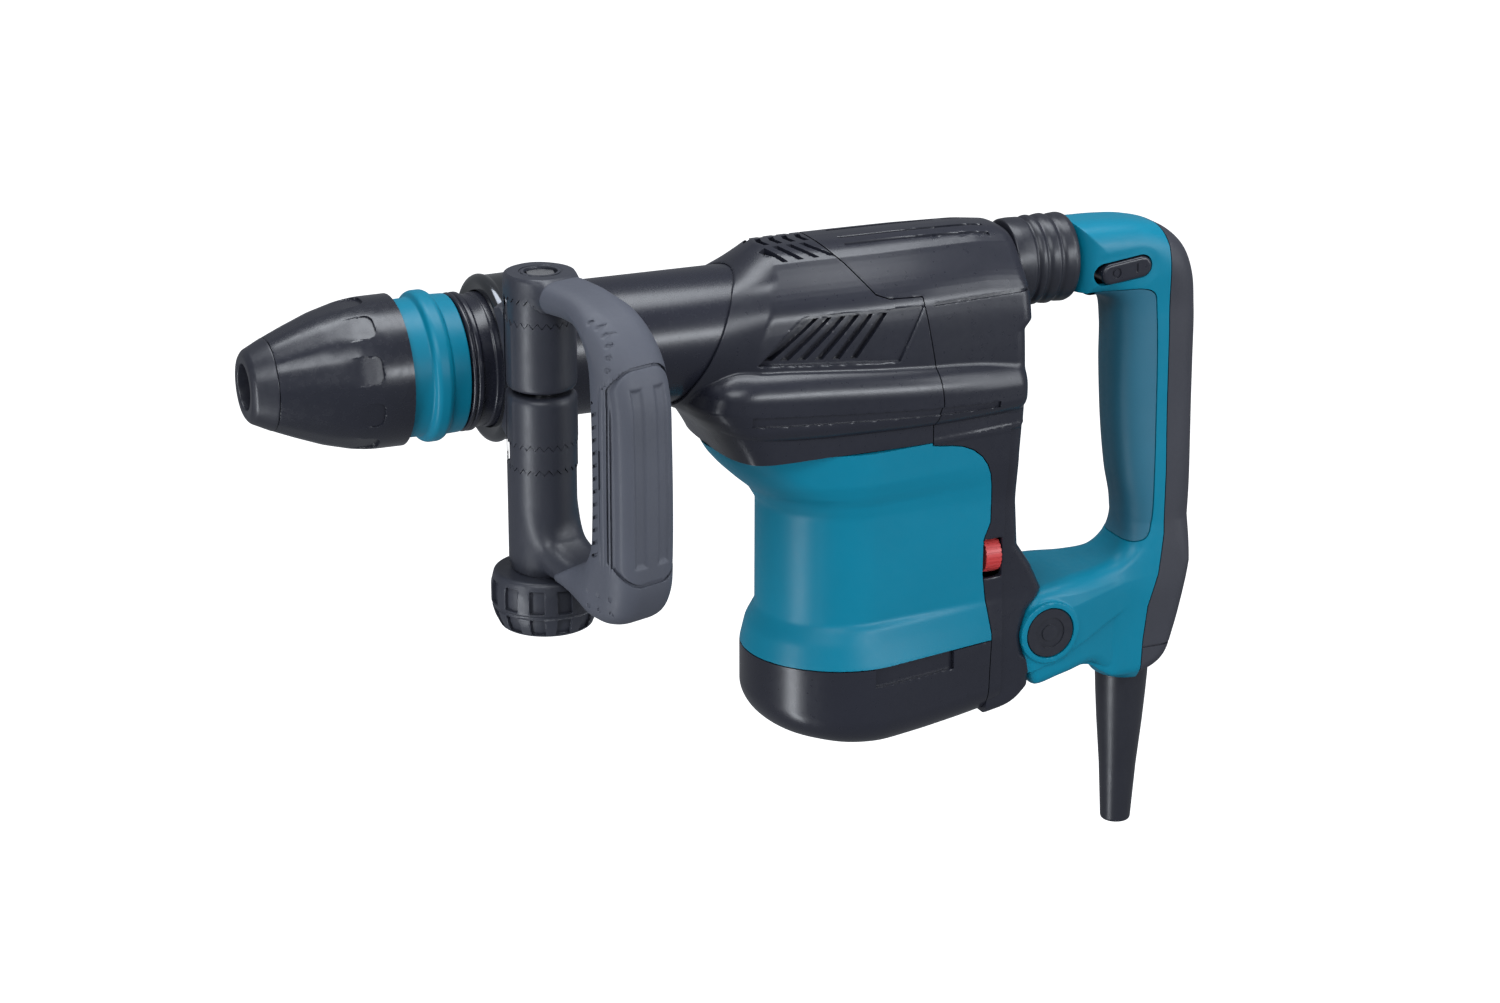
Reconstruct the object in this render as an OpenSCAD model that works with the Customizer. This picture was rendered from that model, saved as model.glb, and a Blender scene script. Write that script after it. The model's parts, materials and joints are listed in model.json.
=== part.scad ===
// Rotary hammer for ribbed 18 mm shanks: socket, hammer mechanism, upright motor, side grip and rear handle.
// The origin is the middle of the bit socket's mouth. +X runs back along the tool and +Z is up.
// The side grip hangs on the -Y side.

/* [Bit socket] */
// Radius of the socket for the bit's shank
socket_r = 9.05; // [8.5:0.05:9.5]
// Depth of the socket
socket_len = 90; // [80:1:92]

/* [Barrel] */
// Outer radius of the barrel
barrel_r = 29.6; // [29.5:0.1:30.5]
// Where the round barrel ends inside the front housing
barrel_end = 209; // [206:1:209]

/* [Hammer mechanism] */
// Bore radius of the cylinder
cylinder_r = 18.0; // [17:0.1:18.4]
// Throw of the crank pin
crank_throw = 12; // [9:0.5:12]
// Distance between the connecting rod's two pins
rod_len = 48; // [46:1:50]
// Distance of the crankshaft from the socket's mouth
crank_x = 240; // [240:1:242]

/* [Gears] */
// Teeth on the motor's pinion
pinion_teeth = 10; // [10:1:10]
// Teeth on the crank gear
gear_teeth = 40; // [40:1:40]
// Gear module
gear_module = 1.3; // [1.3:0.05:1.3]

/* [Housings] */
// Height of the top of the housing above the bit axis
top_z = 39.5; // [38:0.5:41]
// Level where the black front housing meets the motor housing
split_z = -53; // [-55:1:-52]
// Level where the motor housing meets the bottom cover
cap_z = -158; // [-160:1:-156]
// Lowest level of the bottom cover
floor_z = -198; // [-202:1:-196]
// Half width of the housings over the motor
body_half_w = 46; // [45:0.5:48]
// Wall thickness of the moulded shells
wall = 2.6; // [2:0.1:2.8]

/* [Side grip] */
// Distance of the grip's post behind the socket's mouth
post_x = 111; // [109:0.5:111]
// Sideways distance of the grip's post from the bit axis
post_y = -51; // [-52:0.5:-51]
// Radius of the grip's post
post_r = 14.8; // [14:0.1:15.2]
// Distance from the post to the middle of the hand grip
grip_reach = 59; // [56:1:62]
// How far the grip is swung towards the tool's rear
grip_angle = 18; // [0:1:25]

/* [Rear handle] */
// Half thickness of the hand grip
handle_half_w = 17.5; // [16:0.5:18]
// Distance of the handle's pivot behind the socket's mouth
pivot_x = 373; // [372:1:374]
// Height of the handle's pivot
pivot_z = -160.5; // [-162:0.5:-159]
// Length of the cord guard
guard_len = 86; // [60:1:90]

/* [Hidden] */

$fn = 96;
eps = 0.01;
// running clearance between a shaft and its bore
run = 0.05;
// gap between still faces of neighbouring pieces
gap = 0.3;
// height of the flat slice at each level of a lofted housing
slab = 0.6;
black = [0.16, 0.17, 0.19];
teal = [0.08, 0.47, 0.57];
rubber = [0.29, 0.30, 0.33];
steel = [0.62, 0.63, 0.65];
dark_steel = [0.30, 0.31, 0.33];
alloy = [0.72, 0.73, 0.74];
copper = [0.72, 0.42, 0.24];
brass = [0.78, 0.62, 0.30];
red = [0.78, 0.20, 0.18];

motor_x = crank_x + gear_module * (pinion_teeth + gear_teeth) / 2;
gear_z = [-41, -31];
disc_z = [-19, -8.5];
rod_half_h = 6;
piston_pin_x = crank_x - crank_throw - rod_len;
crown_x = piston_pin_x - 15;
striker_x = [131, crown_x - 4];
counterweight_x = [150, 166];
counterweight_bay = [126, 190];
shroud_end = 221;
seam_x = 305;
rear_seam_x = 336;
rear_x = 357;
// outer radius of the clamp band's raised edge
band_r = 37.8;
// outer radius of the cord guard where it enters the handle
guard_r = 13;
knob_z = [-106.5, -81];
// height of the bellows and of the spring inside them
bellows_z = 16.5;
dial_x = 340.6;
dial_y = -24;
dial_z = -117;
dial_r = 9;

// ---------- shared shapes ----------

module rod_x(x0, x1, r) {
    translate([x0, 0, 0])
        rotate([0, 90, 0])
            cylinder(h = x1 - x0, r = r);
}

module ring_x(x0, x1, r_out, r_in) {
    difference() {
        rod_x(x0, x1, r_out);
        rod_x(x0 - 1, x1 + 1, r_in);
    }
}

module rod_z(z0, z1, r) {
    translate([0, 0, z0])
        cylinder(h = z1 - z0, r = r);
}

module ring_z(z0, z1, r_out, r_in) {
    difference() {
        rod_z(z0, z1, r_out);
        rod_z(z0 - 1, z1 + 1, r_in);
    }
}

module rod_y(y0, y1, r) {
    translate([0, y1, 0])
        rotate([90, 0, 0])
            cylinder(h = y1 - y0, r = r);
}

// Solid turned about the bit axis from points of [distance back, radius]
module turned_x(points) {
    rotate([0, 90, 0])
        rotate_extrude()
            polygon([for (p = points) [p[1], p[0]]]);
}

// Box between two corners
module block(low, high) {
    translate(low)
        cube(high - low);
}

function spring_ring(a, r, x, wire, sides) =
    [for (k = [0:sides - 1])
        let (t = 360 * k / sides, q = r + wire * cos(t))
            [x + wire * sin(t), q * cos(a), q * sin(a)]];

// Coil spring about the bit axis
module spring_x(x0, x1, r, wire, turns) {
    sides = 8;
    steps = turns * 14;
    points = [for (i = [0:steps])
        for (p = spring_ring(360 * turns * i / steps, r, x0 + wire + (x1 - x0 - 2 * wire) * i / steps, wire, sides))
            p];
    walls = [for (i = [0:steps - 1])
        for (k = [0:sides - 1])
            let (n = (k + 1) % sides)
                [i * sides + k, i * sides + n, (i + 1) * sides + n, (i + 1) * sides + k]];
    near_end = [for (k = [0:sides - 1]) sides - 1 - k];
    far_end = [for (k = [0:sides - 1]) steps * sides + k];
    polyhedron(points, concat([near_end], walls, [far_end]));
}

// One tooth and gap of an involute spur gear, as points from radius and half angle
function involute_deg(c) = (tan(c) - c * PI / 180) * 180 / PI;
function flank_deg(r, pitch_r, teeth, slack) =
    let (base_r = pitch_r * cos(20))
        90 / teeth - slack + involute_deg(20) - (r > base_r ? involute_deg(acos(base_r / r)) : 0);

// Involute spur gear with its teeth from root_r to tip_r
module gear_2d(teeth, root_r, tip_r, slack) {
    pitch_r = gear_module * teeth / 2;
    radii = [for (k = [0:4]) root_r + (tip_r - root_r) * k / 4];
    polygon([for (i = [0:teeth - 1])
        let (mid = 360 * i / teeth)
            each concat(
                [for (r = radii) r * [cos(mid - flank_deg(r, pitch_r, teeth, slack)),
                    sin(mid - flank_deg(r, pitch_r, teeth, slack))]],
                [for (k = [4:-1:0]) radii[k] * [cos(mid + flank_deg(radii[k], pitch_r, teeth, slack)),
                    sin(mid + flank_deg(radii[k], pitch_r, teeth, slack))]])]);
}

// A solid between stacked outlines, each [level, [[x, half width, corner radius], ...]]
module loft(levels, shrink = 0) {
    for (i = [0:len(levels) - 2])
        hull()
            for (k = [i, i + 1])
                for (c = levels[k][1])
                    for (side = [-1, 1])
                        translate([c[0], side * (c[1] - c[2]), levels[k][0]])
                            cylinder(h = slab, r = c[2] - shrink, $fn = 32);
}

// ---------- bit socket and its sleeves ----------

module tool_holder() {
    color(steel)
        difference() {
            union() {
                rod_x(0, 56, 14);
                rod_x(56, 91, 20);
                rod_x(91, 116, 22.5 - run);
            }
            rod_x(-1, socket_len, socket_r);
            rod_x(socket_len - eps, 104, 12);
            rod_x(104 - eps, 117, 17);
            for (side = [-1, 1])
                block([19.6, side > 0 ? socket_r - 1 : -14.5, -3.2], [32, side > 0 ? 14.5 : 1 - socket_r, 3.2]);
        }
}

module nose_cap() {
    color(black)
        difference() {
            turned_x([[-6, 10], [-6, 14.6], [-4.6, 16.6], [4, 20.1], [4, 14], [0, 14], [0, 10]]);
            rod_x(-7, 5, 10);
        }
}

module release_cover() {
    color(black)
        turned_x([[4.6, 20.2], [20, 26], [38, 31.2], [50, 32.8], [53, 33], [57, 33.2], [60.3, 33],
            [60.3, 31.4], [51, 31], [38, 28.6], [14, 21], [14, 14 + run], [4.6, 14 + run]]);
}

module locking_rollers() {
    color(steel)
        for (side = [-1, 1])
            translate([0, side * 12.4, 0])
                rod_x(20, 31.5, 3);
}

module guide_washer() {
    color(dark_steel)
        ring_x(33, 36, 23, 14);
}

module release_spring() {
    color(steel)
        spring_x(36.2, 49.8, 16.6, 1.1, 4);
}

module spring_seat() {
    color(dark_steel)
        ring_x(50, 53, 18.5, 14);
}

module change_ring() {
    color(teal)
        turned_x([[60.6, 29.4], [60.6, 30.2], [61.4, 30.6], [68.8, 30.6], [71, 33], [73, 33.8], [76, 33.8],
            [77.8, 33], [79, 31], [86.6, 31], [86.6, 28.5], [76, 28.5], [74, 20 + run],
            [66, 20 + run], [64, 29.4]]);
}

// ---------- barrel ----------

module barrel() {
    bay = counterweight_bay;
    color(black)
        difference() {
            turned_x([[87.2, 20.4], [87.2, 30], [88, 30.6], [89, 30.6], [89.6, 29.8], [90.2, 30.6], [92, 30.6],
                [92.8, 29.2], [98, 29.2], [98.4, barrel_r], [shroud_end, barrel_r], [shroud_end, 28.2],
                [barrel_end, 28.2], [barrel_end, 24], [bay[1], 24], [bay[1], 28], [bay[0], 28], [bay[0], 24],
                [118, 24], [118, 22.5], [91, 22.5], [91, 20.4]]);
            block([barrel_end, -40, -40], [shroud_end + 1, 40, -15]);
        }
}

// ---------- hammer mechanism ----------

module impact_bolt() {
    color(steel) {
        rod_x(93, 107, 11.9);
        rod_x(107 - eps, 115, 17 - run);
        rod_x(115 - eps, 128, 11);
    }
}

module cylinder_tube() {
    color(steel)
        difference() {
            union() {
                rod_x(118, 198, cylinder_r + 3.2);
                rod_x(118, 126, 23.9);
                rod_x(190, 198, 23.9);
            }
            rod_x(117, 199, 12.5);
            rod_x(123, 199, cylinder_r);
        }
}

module striker() {
    color(steel)
        difference() {
            union() {
                rod_x(striker_x[0], striker_x[0] + 5, 11);
                rod_x(striker_x[0] + 5 - eps, striker_x[1], cylinder_r - run);
            }
            ring_x(striker_x[1] - 10, striker_x[1] - 7, cylinder_r + 1, cylinder_r - 2.4);
        }
}

module striker_o_ring() {
    color(black)
        ring_x(striker_x[1] - 9.9, striker_x[1] - 7.1, cylinder_r - run, cylinder_r - 2.4);
}

module piston() {
    color(alloy)
        difference() {
            rod_x(crown_x, piston_pin_x + 16, cylinder_r - run);
            rod_x(crown_x + 6, piston_pin_x + 17, 13.6);
            translate([piston_pin_x, 0, 0])
                rod_z(-20, 20, 4.5);
            ring_x(crown_x + 1.6, crown_x + 4.4, cylinder_r + 1, cylinder_r - 2.4);
        }
}

module piston_o_ring() {
    color(black)
        ring_x(crown_x + 1.7, crown_x + 4.3, cylinder_r - run, cylinder_r - 2.4);
}

module piston_pin() {
    color(steel)
        translate([piston_pin_x, 0, 0])
            rod_z(-17, 17, 4.5);
}

module connecting_rod() {
    color(dark_steel)
        translate([piston_pin_x, 0, 0])
            difference() {
                union() {
                    rod_z(-rod_half_h, rod_half_h, 8);
                    block([0, -4.2, -4], [rod_len, 4.2, 4]);
                    translate([rod_len, 0, 0])
                        rod_z(-rod_half_h, rod_half_h, 9.5);
                }
                rod_z(-10, 10, 4.5 + run);
                translate([rod_len, 0, 0])
                    rod_z(-10, 10, 4.6);
            }
}

module crank_pin() {
    color(steel)
        translate([piston_pin_x + rod_len, 0, 0])
            rod_z(disc_z[1] + 0.25, rod_half_h + 1.5, 4.6);
}

module crankshaft() {
    color(dark_steel)
        translate([crank_x, 0, 0]) {
            difference() {
                rod_z(disc_z[0], disc_z[1], crank_throw + 4.8);
                translate([6, -14, disc_z[0] - 1])
                    cube([14, 7, 20]);
            }
            rod_z(gear_z[0] - 1, disc_z[0] + eps, 7.5);
            rod_z(-50, gear_z[0], 6);
        }
}

module crank_gear() {
    color(steel)
        translate([crank_x, 0, gear_z[0]])
            linear_extrude(gear_z[1] - gear_z[0])
                difference() {
                    gear_2d(gear_teeth, 24.2, 26.65, 0.1);
                    circle(r = 7.5);
                }
}

// Ball bearing about a vertical axis, its balls held clear of both races
module ball_bearing(x, z0, z1, r_out, r_in) {
    mid = (r_out + r_in) / 2;
    ball = (r_out - r_in) * 0.22;
    translate([x, 0, 0]) {
        ring_z(z0, z1, r_out, mid + ball + run);
        ring_z(z0, z1, mid - ball - run, r_in + run);
        for (i = [0:7])
            rotate([0, 0, 45 * i])
                translate([mid, 0, (z0 + z1) / 2])
                    sphere(r = ball);
    }
}

module crank_bearings() {
    color(steel) {
        ball_bearing(crank_x, -29, -20, 15, 7.5);
        ball_bearing(crank_x, -50, -43.5, 11, 6);
    }
}

module counterweight() {
    color(dark_steel)
        ring_x(counterweight_x[0], counterweight_x[1], 27.6, cylinder_r + 3.2 + run);
}

module counterweight_spring_front() {
    color(steel)
        spring_x(counterweight_bay[0] + 0.1, counterweight_x[0] - 0.1, 24.6, 1.4, 4);
}

module counterweight_spring_rear() {
    color(steel)
        spring_x(counterweight_x[1] + 0.1, counterweight_bay[1] - 0.1, 24.6, 1.4, 4);
}

module crank_housing() {
    color(alloy)
        difference() {
            union() {
                translate([crank_x, 0, 0])
                    rod_z(-30, 14, 30.8);
                translate([crank_x, 0, 0])
                    rod_z(-43, -29, 30);
                translate([motor_x, 0, 0])
                    rod_z(-43, -28, 12);
            }
            translate([crank_x, 0, 0])
                rod_z(-19.6, 11, 28.2);
            translate([crank_x, 0, 0])
                rod_z(-31, -19, 15);
            translate([crank_x, 0, 0])
                rod_z(-44, -29.9, 27.8);
            translate([motor_x, 0, 0])
                rod_z(-44, -30.5, 9);
            rod_x(200, 221.5, 24);
            rod_x(200, barrel_end + gap, 40);
            difference() {
                rod_x(200, 221.5, 40);
                rod_x(200, 223, 28.1);
                block([200, -50, -50], [230, 50, -15.2]);
            }
        }
}

module gear_plate() {
    color(alloy)
        difference() {
            hull() {
                translate([crank_x, 0, -50.5])
                    cylinder(h = 7, r = 27, $fn = 48);
                translate([motor_x, 0, -50.5])
                    cylinder(h = 7, r = 20, $fn = 48);
            }
            translate([crank_x, 0, 0])
                rod_z(-49.9 - 1, -43, 11);
            translate([motor_x, 0, 0])
                rod_z(-60, -40, 9);
            translate([motor_x, 0, 0])
                rod_z(-60, -44.5, 13);
        }
}

// ---------- motor ----------

module armature_shaft() {
    color(steel)
        translate([motor_x, 0, 0]) {
            rod_z(-172, -44, 5);
            translate([0, 0, -44 - eps])
                linear_extrude(gear_z[1] + 44)
                    rotate([0, 0, 180 / pinion_teeth])
                        gear_2d(pinion_teeth, 5.1, 7.6, 1.2);
        }
}

module armature_core() {
    color(dark_steel)
        translate([motor_x, 0, 0]) {
            difference() {
                ring_z(-126, -80, 22.5, 5);
                for (i = [0:11])
                    rotate([0, 0, 30 * i])
                        translate([20, -1.3, -127])
                            cube([4, 2.6, 48]);
            }
            ring_z(-133, -126 + eps, 17, 5);
            ring_z(-80 - eps, -73, 17, 5);
        }
}

module commutator() {
    color(copper)
        translate([motor_x, 0, 0])
            difference() {
                ring_z(-156, -136, 12.5, 5);
                for (i = [0:23])
                    rotate([0, 0, 15 * i])
                        translate([11.2, -0.3, -157])
                            cube([2, 0.6, 19]);
            }
}

module cooling_fan() {
    color(black)
        translate([motor_x, 0, 0]) {
            ring_z(-60, -58, 30, 5);
            ring_z(-68, -58 - eps, 9, 5);
            for (i = [0:13])
                rotate([0, 0, 360 / 14 * i])
                    translate([12, -0.8, -68])
                        cube([16, 1.6, 8.1]);
        }
}

module field_stator() {
    color(dark_steel)
        translate([motor_x, 0, 0]) {
            ring_z(-128, -80, 31.8, 27.5);
            for (side = [0, 180])
                rotate([0, 0, side])
                    difference() {
                        intersection() {
                            ring_z(-128, -80, 28, 23.2);
                            block([0, -17, -130], [40, 17, -70]);
                        }
                    }
        }
}

module motor_bearings() {
    color(steel) {
        ball_bearing(motor_x, -52, -44.6, 12.9, 5);
        ball_bearing(motor_x, -170, -162, 12, 5);
    }
}

module brush_holders() {
    color(brass)
        for (side = [-1, 1])
            translate([motor_x, 0, -146])
                difference() {
                    block([-6, side > 0 ? 15 : -32, -6], [6, side > 0 ? 32 : -15, 6]);
                    block([-4, side > 0 ? 10 : -31, -4], [4, side > 0 ? 31 : -10, 4]);
                }
}

module carbon_brushes() {
    color(black)
        for (side = [-1, 1])
            translate([motor_x, 0, -146])
                block([-3.9, side > 0 ? 12.8 : -26, -3.9], [3.9, side > 0 ? 26 : -12.8, 3.9]);
}

// ---------- housings ----------

// Outlines of the upper housing: front, widest and rear stations at each level
function upper_station(z, x0, w0, r0, w1, x2, w2) =
    [z, [[x0 + r0, w0, r0], [motor_x, w1, min(w1, 14)], [x2 - 12, w2, 12]]];
upper_levels = [
    upper_station(split_z, 210, 30, 24, 42, rear_x, 33),
    upper_station(-44, 201, 30, 24, 42.5, rear_x, 34),
    upper_station(-38, 194, 32, 20, body_half_w, rear_x, 35),
    upper_station(-14, 197, 34, 18, body_half_w - 0.5, rear_x, 35),
    upper_station(-4, 205, 34, 14, 40, rear_x, 34),
    upper_station(14, 211, 32, 14, 37.4, rear_x, 32),
    upper_station(33.4, 224, 21, 12, 21, rear_x, 19),
    upper_station(top_z - slab, 232, 12, 12, 13, rear_x - 6, 12)];

// Outlines of the motor housing: nose, motor and rear stations at each level
function motor_station(z, x0, r0, w1, w2) =
    [z, [[x0 + r0, r0, r0], [motor_x, w1, w1], [rear_seam_x, w2, 6]]];
motor_levels = [
    motor_station(cap_z, 229.5, 30, body_half_w, 33.5),
    motor_station(-148, 230.5, 30, 45.5, 33),
    motor_station(-136, 237.8, 28, 38.5, 32.5),
    motor_station(-88, 237.8, 28, 38, 33),
    motor_station(-70, 222, 28, 41, 35),
    motor_station(split_z - gap - slab, 207, 27, 43, 36)];

cap_levels = [
    motor_station(floor_z, 254, 18, 30, 22),
    motor_station(floor_z + 5, 243, 24, 38, 28),
    motor_station(floor_z + 14, 234, 28, 44, 32),
    motor_station(cap_z - gap - slab, 229.5, 30, body_half_w, 33.5)];

rear_low_levels = [
    [floor_z + 1, [[rear_seam_x + 2, 22, 6], [rear_x - 3, 21, 6]]],
    [floor_z + 14, [[rear_seam_x + 2, 32, 6], [rear_x + 5, 24, 8]]],
    [cap_z, [[rear_seam_x + 2, 33.5, 6], [rear_x - 1, 25, 8]]],
    [split_z + 5, [[rear_seam_x + 4, 32.2, 6], [rear_x - 13, 29.5, 11]]]];

module upper_shell() {
    difference() {
        loft(upper_levels);
        loft([for (k = [0:len(upper_levels) - 1])
            [upper_levels[k][0] - (k == 0 ? 1 : (k == len(upper_levels) - 1 ? wall : 0)), upper_levels[k][1]]],
            wall);
        rod_x(180, 236, barrel_r + gap);
    }
}

module front_housing() {
    color(black)
        difference() {
            intersection() {
                upper_shell();
                block([180, -60, split_z], [seam_x, 60, 60]);
            }
            for (side = [-1, 1])
                for (i = [0:6])
                    translate([232 + 9 * i, side * 38, 0])
                        rotate([0, 25, 0])
                            block([0, -6, -5], [3.5, 6, 9]);
            for (i = [0:3])
                for (side = [-1, 1])
                    translate([236 + 8 * i, side * 18, 39])
                        block([0, -5, -5], [3.5, 5, 5]);
        }
}

module rear_housing() {
    color(black)
        difference() {
            union() {
                intersection() {
                    upper_shell();
                    block([seam_x + gap, -60, split_z], [400, 60, 60]);
                }
                intersection() {
                    difference() {
                        loft(rear_low_levels);
                        loft([for (k = [0:len(rear_low_levels) - 1])
                            [rear_low_levels[k][0] + (k == 0 ? wall : (k == 3 ? 2 : 0)),
                                rear_low_levels[k][1]]], wall);
                    }
                    block([rear_seam_x + 0.6, -60, floor_z - 1], [400, 60, 0]);
                }
                translate([pivot_x, 0, pivot_z])
                    rod_y(-19, 19, 13);
                block([rear_x - 5, -17, pivot_z - 10], [pivot_x, 17, pivot_z + 10]);
            }
            translate([pivot_x, 0, pivot_z])
                rod_y(-30, 30, 5 + run);
            block([rear_x - 15, -13, bellows_z - 14], [rear_x + 5, 13, bellows_z + 13]);
            translate([dial_x, dial_y, dial_z])
                block([-4.2, -12, -9.4], [4.2, 0, 9.4]);
            for (side = [-1, 1])
                translate([0, side * 16, -24])
                    rod_x(336, 370, 2.1);
        }
}

module motor_housing() {
    color(teal)
        difference() {
            loft(motor_levels);
            loft([for (k = [0:len(motor_levels) - 1])
                [motor_levels[k][0] + (k == 0 ? -1 : (k == len(motor_levels) - 1 ? 1 : 0)), motor_levels[k][1]]],
                wall);
            block([rear_seam_x, -60, -170], [400, 60, -40]);
        }
}

module bottom_cover() {
    color(black)
        difference() {
            loft(cap_levels);
            loft([for (k = [0:len(cap_levels) - 1])
                [cap_levels[k][0] + (k == 0 ? wall : (k == len(cap_levels) - 1 ? 1 : 0)), cap_levels[k][1]]], wall);
            block([rear_seam_x, -60, -210], [400, 60, -40]);
            for (side = [-1, 1])
                translate([320, side * 20, 0])
                    rod_z(-210, -190, 2.1);
        }
}

// Pan-head screw along +Z with its head below z0
module screw_z(z0, len, r) {
    rod_z(z0 - 1.6, z0, 1.9 * r);
    rod_z(z0 - eps, z0 + len, r);
}

module housing_screws() {
    color(dark_steel)
        for (side = [-1, 1]) {
            translate([rear_x + 0.1, side * 16, -24])
                rotate([0, -90, 0])
                    screw_z(0, 20, 2);
            translate([320, side * 20, 0])
                screw_z(floor_z, 22, 2);
        }
}

// ---------- side grip ----------

module clamp_band() {
    color(dark_steel)
        difference() {
            turned_x([[101, barrel_r + run], [101, 36.2], [102, 37.4], [104, band_r], [106, 37.4], [122, 37.4],
                [123, 36.2], [123, barrel_r + run]]);
            block([90, -50, -1], [140, -20, 1]);
        }
}

module jaw(z0, z1) {
    difference() {
        union() {
            translate([post_x, post_y, 0])
                rod_z(z0, z1, post_r);
            block([101, post_y, z0], [121, -24, z1]);
        }
        rod_x(90, 140, band_r + gap);
        translate([post_x, post_y, 0])
            rod_z(-120, 120, 4.4);
    }
}

module grip_upper_jaw() {
    color(dark_steel)
        jaw(1, 31.3);
}

module grip_lower_jaw() {
    color(dark_steel)
        jaw(-22.5, -1);
}

module at_post() {
    translate([post_x, post_y, 0])
        rotate([0, 0, grip_angle])
            children();
}

module grip_index_rings() {
    color(black)
        at_post() {
            ring_z(31.6, 41.1, post_r, 4.5);
            ring_z(-33.2, -22.8, post_r, 4.5);
        }
}

module grip_bolt() {
    color(steel)
        at_post() {
            translate([0, 0, 46])
                cylinder(h = 5, r = 6.6, $fn = 6);
            rod_z(-98, 46 + eps, 4.2);
        }
}

module grip_knob() {
    color(black)
        translate([post_x, post_y, 0])
            difference() {
                rotate_extrude()
                    polygon([[4.2 + run, knob_z[1]], [21, knob_z[1]], [22.6, knob_z[1] - 3],
                        [22.6, knob_z[0] + 9], [20.4, knob_z[0] + 2], [17.6, knob_z[0]], [0, knob_z[0]],
                        [0, knob_z[0] + 5], [4.2 + run, knob_z[0] + 5]]);
                for (i = [0:11])
                    rotate([0, 0, 30 * i])
                        translate([20.4, -3.4, knob_z[0] + 12])
                            cube([4, 6.8, 9]);
            }
}

// Inner core of the hand grip, grown by extra where the sleeve is moulded round it
module grip_core(extra) {
    translate([0, -grip_reach, 0])
        rod_z(-78 - extra, 46 + extra, 8 + extra);
    for (z = [41.5, -78])
        block([-6 - extra, -grip_reach, z - extra], [6 + extra, -30, z + 4.5 + extra]);
}

// Arm from the post towards the hand grip
module grip_arm(z0, z1, drop, r) {
    hull() {
        translate([0, 0, z0])
            cylinder(h = z1 - z0, r = r + 1, $fn = 32);
        translate([0, -30, z0 - drop])
            cylinder(h = z1 - z0, r = r, $fn = 32);
    }
}

module grip_frame() {
    color(black)
        at_post()
            difference() {
                union() {
                    rod_z(41.4, 52.3, post_r);
                    rod_z(-80.5, -33.5, post_r);
                    grip_arm(42, 52.3, 1, 12.6);
                    grip_arm(-80.5, -66, 0, 12.6);
                    grip_core(0);
                }
                rod_z(-120, 120, 4.3);
                rod_z(45.9, 60, 7.2);
            }
}

// Upper or lower corner of the sleeve, between the arm and the hand grip
module sleeve_corner(z_arm, h_arm, z_grip, h_grip) {
    hull() {
        translate([0, -43, z_arm])
            cylinder(h = h_arm, r = 13.6, $fn = 32);
        translate([0, -grip_reach, z_grip])
            cylinder(h = h_grip, r = 15, $fn = 32);
    }
}

module grip_sleeve() {
    color(rubber)
        at_post()
            difference() {
                union() {
                    sleeve_corner(37, 15.6, 22, 26);
                    sleeve_corner(-86, 17, -89, 30);
                    hull()
                        for (x = [-3, 3])
                            translate([x, -grip_reach, -62])
                                cylinder(h = 86, r = 13.6, $fn = 32);
                }
                grip_core(0.1);
                grip_arm(30, 60, 0, 12.9);
                grip_arm(-100, -60, 0, 12.9);
            }
}

// ---------- rear handle ----------

// Side outline of the whole rear handle, without its finger opening
handle_points = [[390, 33.8], [410, 33.4], [424, 32], [439, 28], [450, 19.5], [455, 5], [457, -12], [458.4, -40],
    [459.4, -100], [457.6, -138], [454, -156], [449.6, -174], [445, -187], [439, -192.5], [428, -195],
    [412, -193], [398.5, -185.5], [384, -187], [368, -189.5], [362, -180], [359.5, -162], [361.5, -149],
    [368, -141], [388, -137.5], [404, -137], [416.5, -132.5], [422, -121], [420, -100], [416, -60],
    [415, -22], [412.5, -7], [406, -2.8], [390, -2.8]];
// Places of the handle's screws, along and up
handle_screw_xz = [[412, 25], [425, -30], [431, -110]];
// Line where the handle cover meets the handle body, from top to bottom
cover_points = [[424, 60], [430, 40], [436, 24], [439, -23], [441, -92], [440.8, -124], [438, -144],
    [432.7, -160], [430.7, -177], [430, -230], [480, -230], [480, 60]];

module handle_slab(half_w, shrink) {
    translate([0, half_w, 0])
        rotate([90, 0, 0])
            linear_extrude(2 * half_w)
                offset(r = -shrink, $fn = 24)
                    polygon(handle_points);
}

module handle_form(shrink = 0) {
    intersection() {
        handle_slab(40, shrink);
        union() {
            block([340, -handle_half_w + shrink, -126], [470, handle_half_w - shrink, 50]);
            hull() {
                block([pivot_x - 14, -29 + shrink, -230], [pivot_x + 10, 29 - shrink, -126 + shrink]);
                block([428, -19 + shrink, -230], [430, 19 - shrink, -120]);
            }
            block([428, -18.5 + shrink, -230], [470, 18.5 - shrink, -120]);
        }
    }
}

module cover_region(inset) {
    translate([inset, 60, 0])
        rotate([90, 0, 0])
            linear_extrude(120)
                polygon(cover_points);
}

module handle_body() {
    color(teal)
        difference() {
            handle_form();
            handle_form(wall);
            cover_region(0);
            block([pivot_x - 40, wall - 29, -200], [pivot_x + 17, 29 - wall, -139]);
            block([340, -31, -189], [pivot_x - 12, 31, -132]);
            translate([pivot_x, 0, pivot_z])
                rod_y(-40, 40, 8);
            translate([389, 0, bellows_z])
                rod_x(-2, 6, 14);
            for (p = handle_screw_xz)
                translate([p[0], 0, p[1]])
                    rod_y(0, 30, 2.1);
            block([397, -30, 5], [425, 30, 14]);
            translate([430.5, 0, 0])
                rod_z(-210, -184, guard_r + gap);
        }
}

module handle_cover() {
    color(black)
        difference() {
            intersection() {
                handle_form();
                cover_region(gap);
            }
            handle_form(wall);
            translate([430.5, 0, 0])
                rod_z(-210, -184, guard_r + gap);
        }
}

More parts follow.
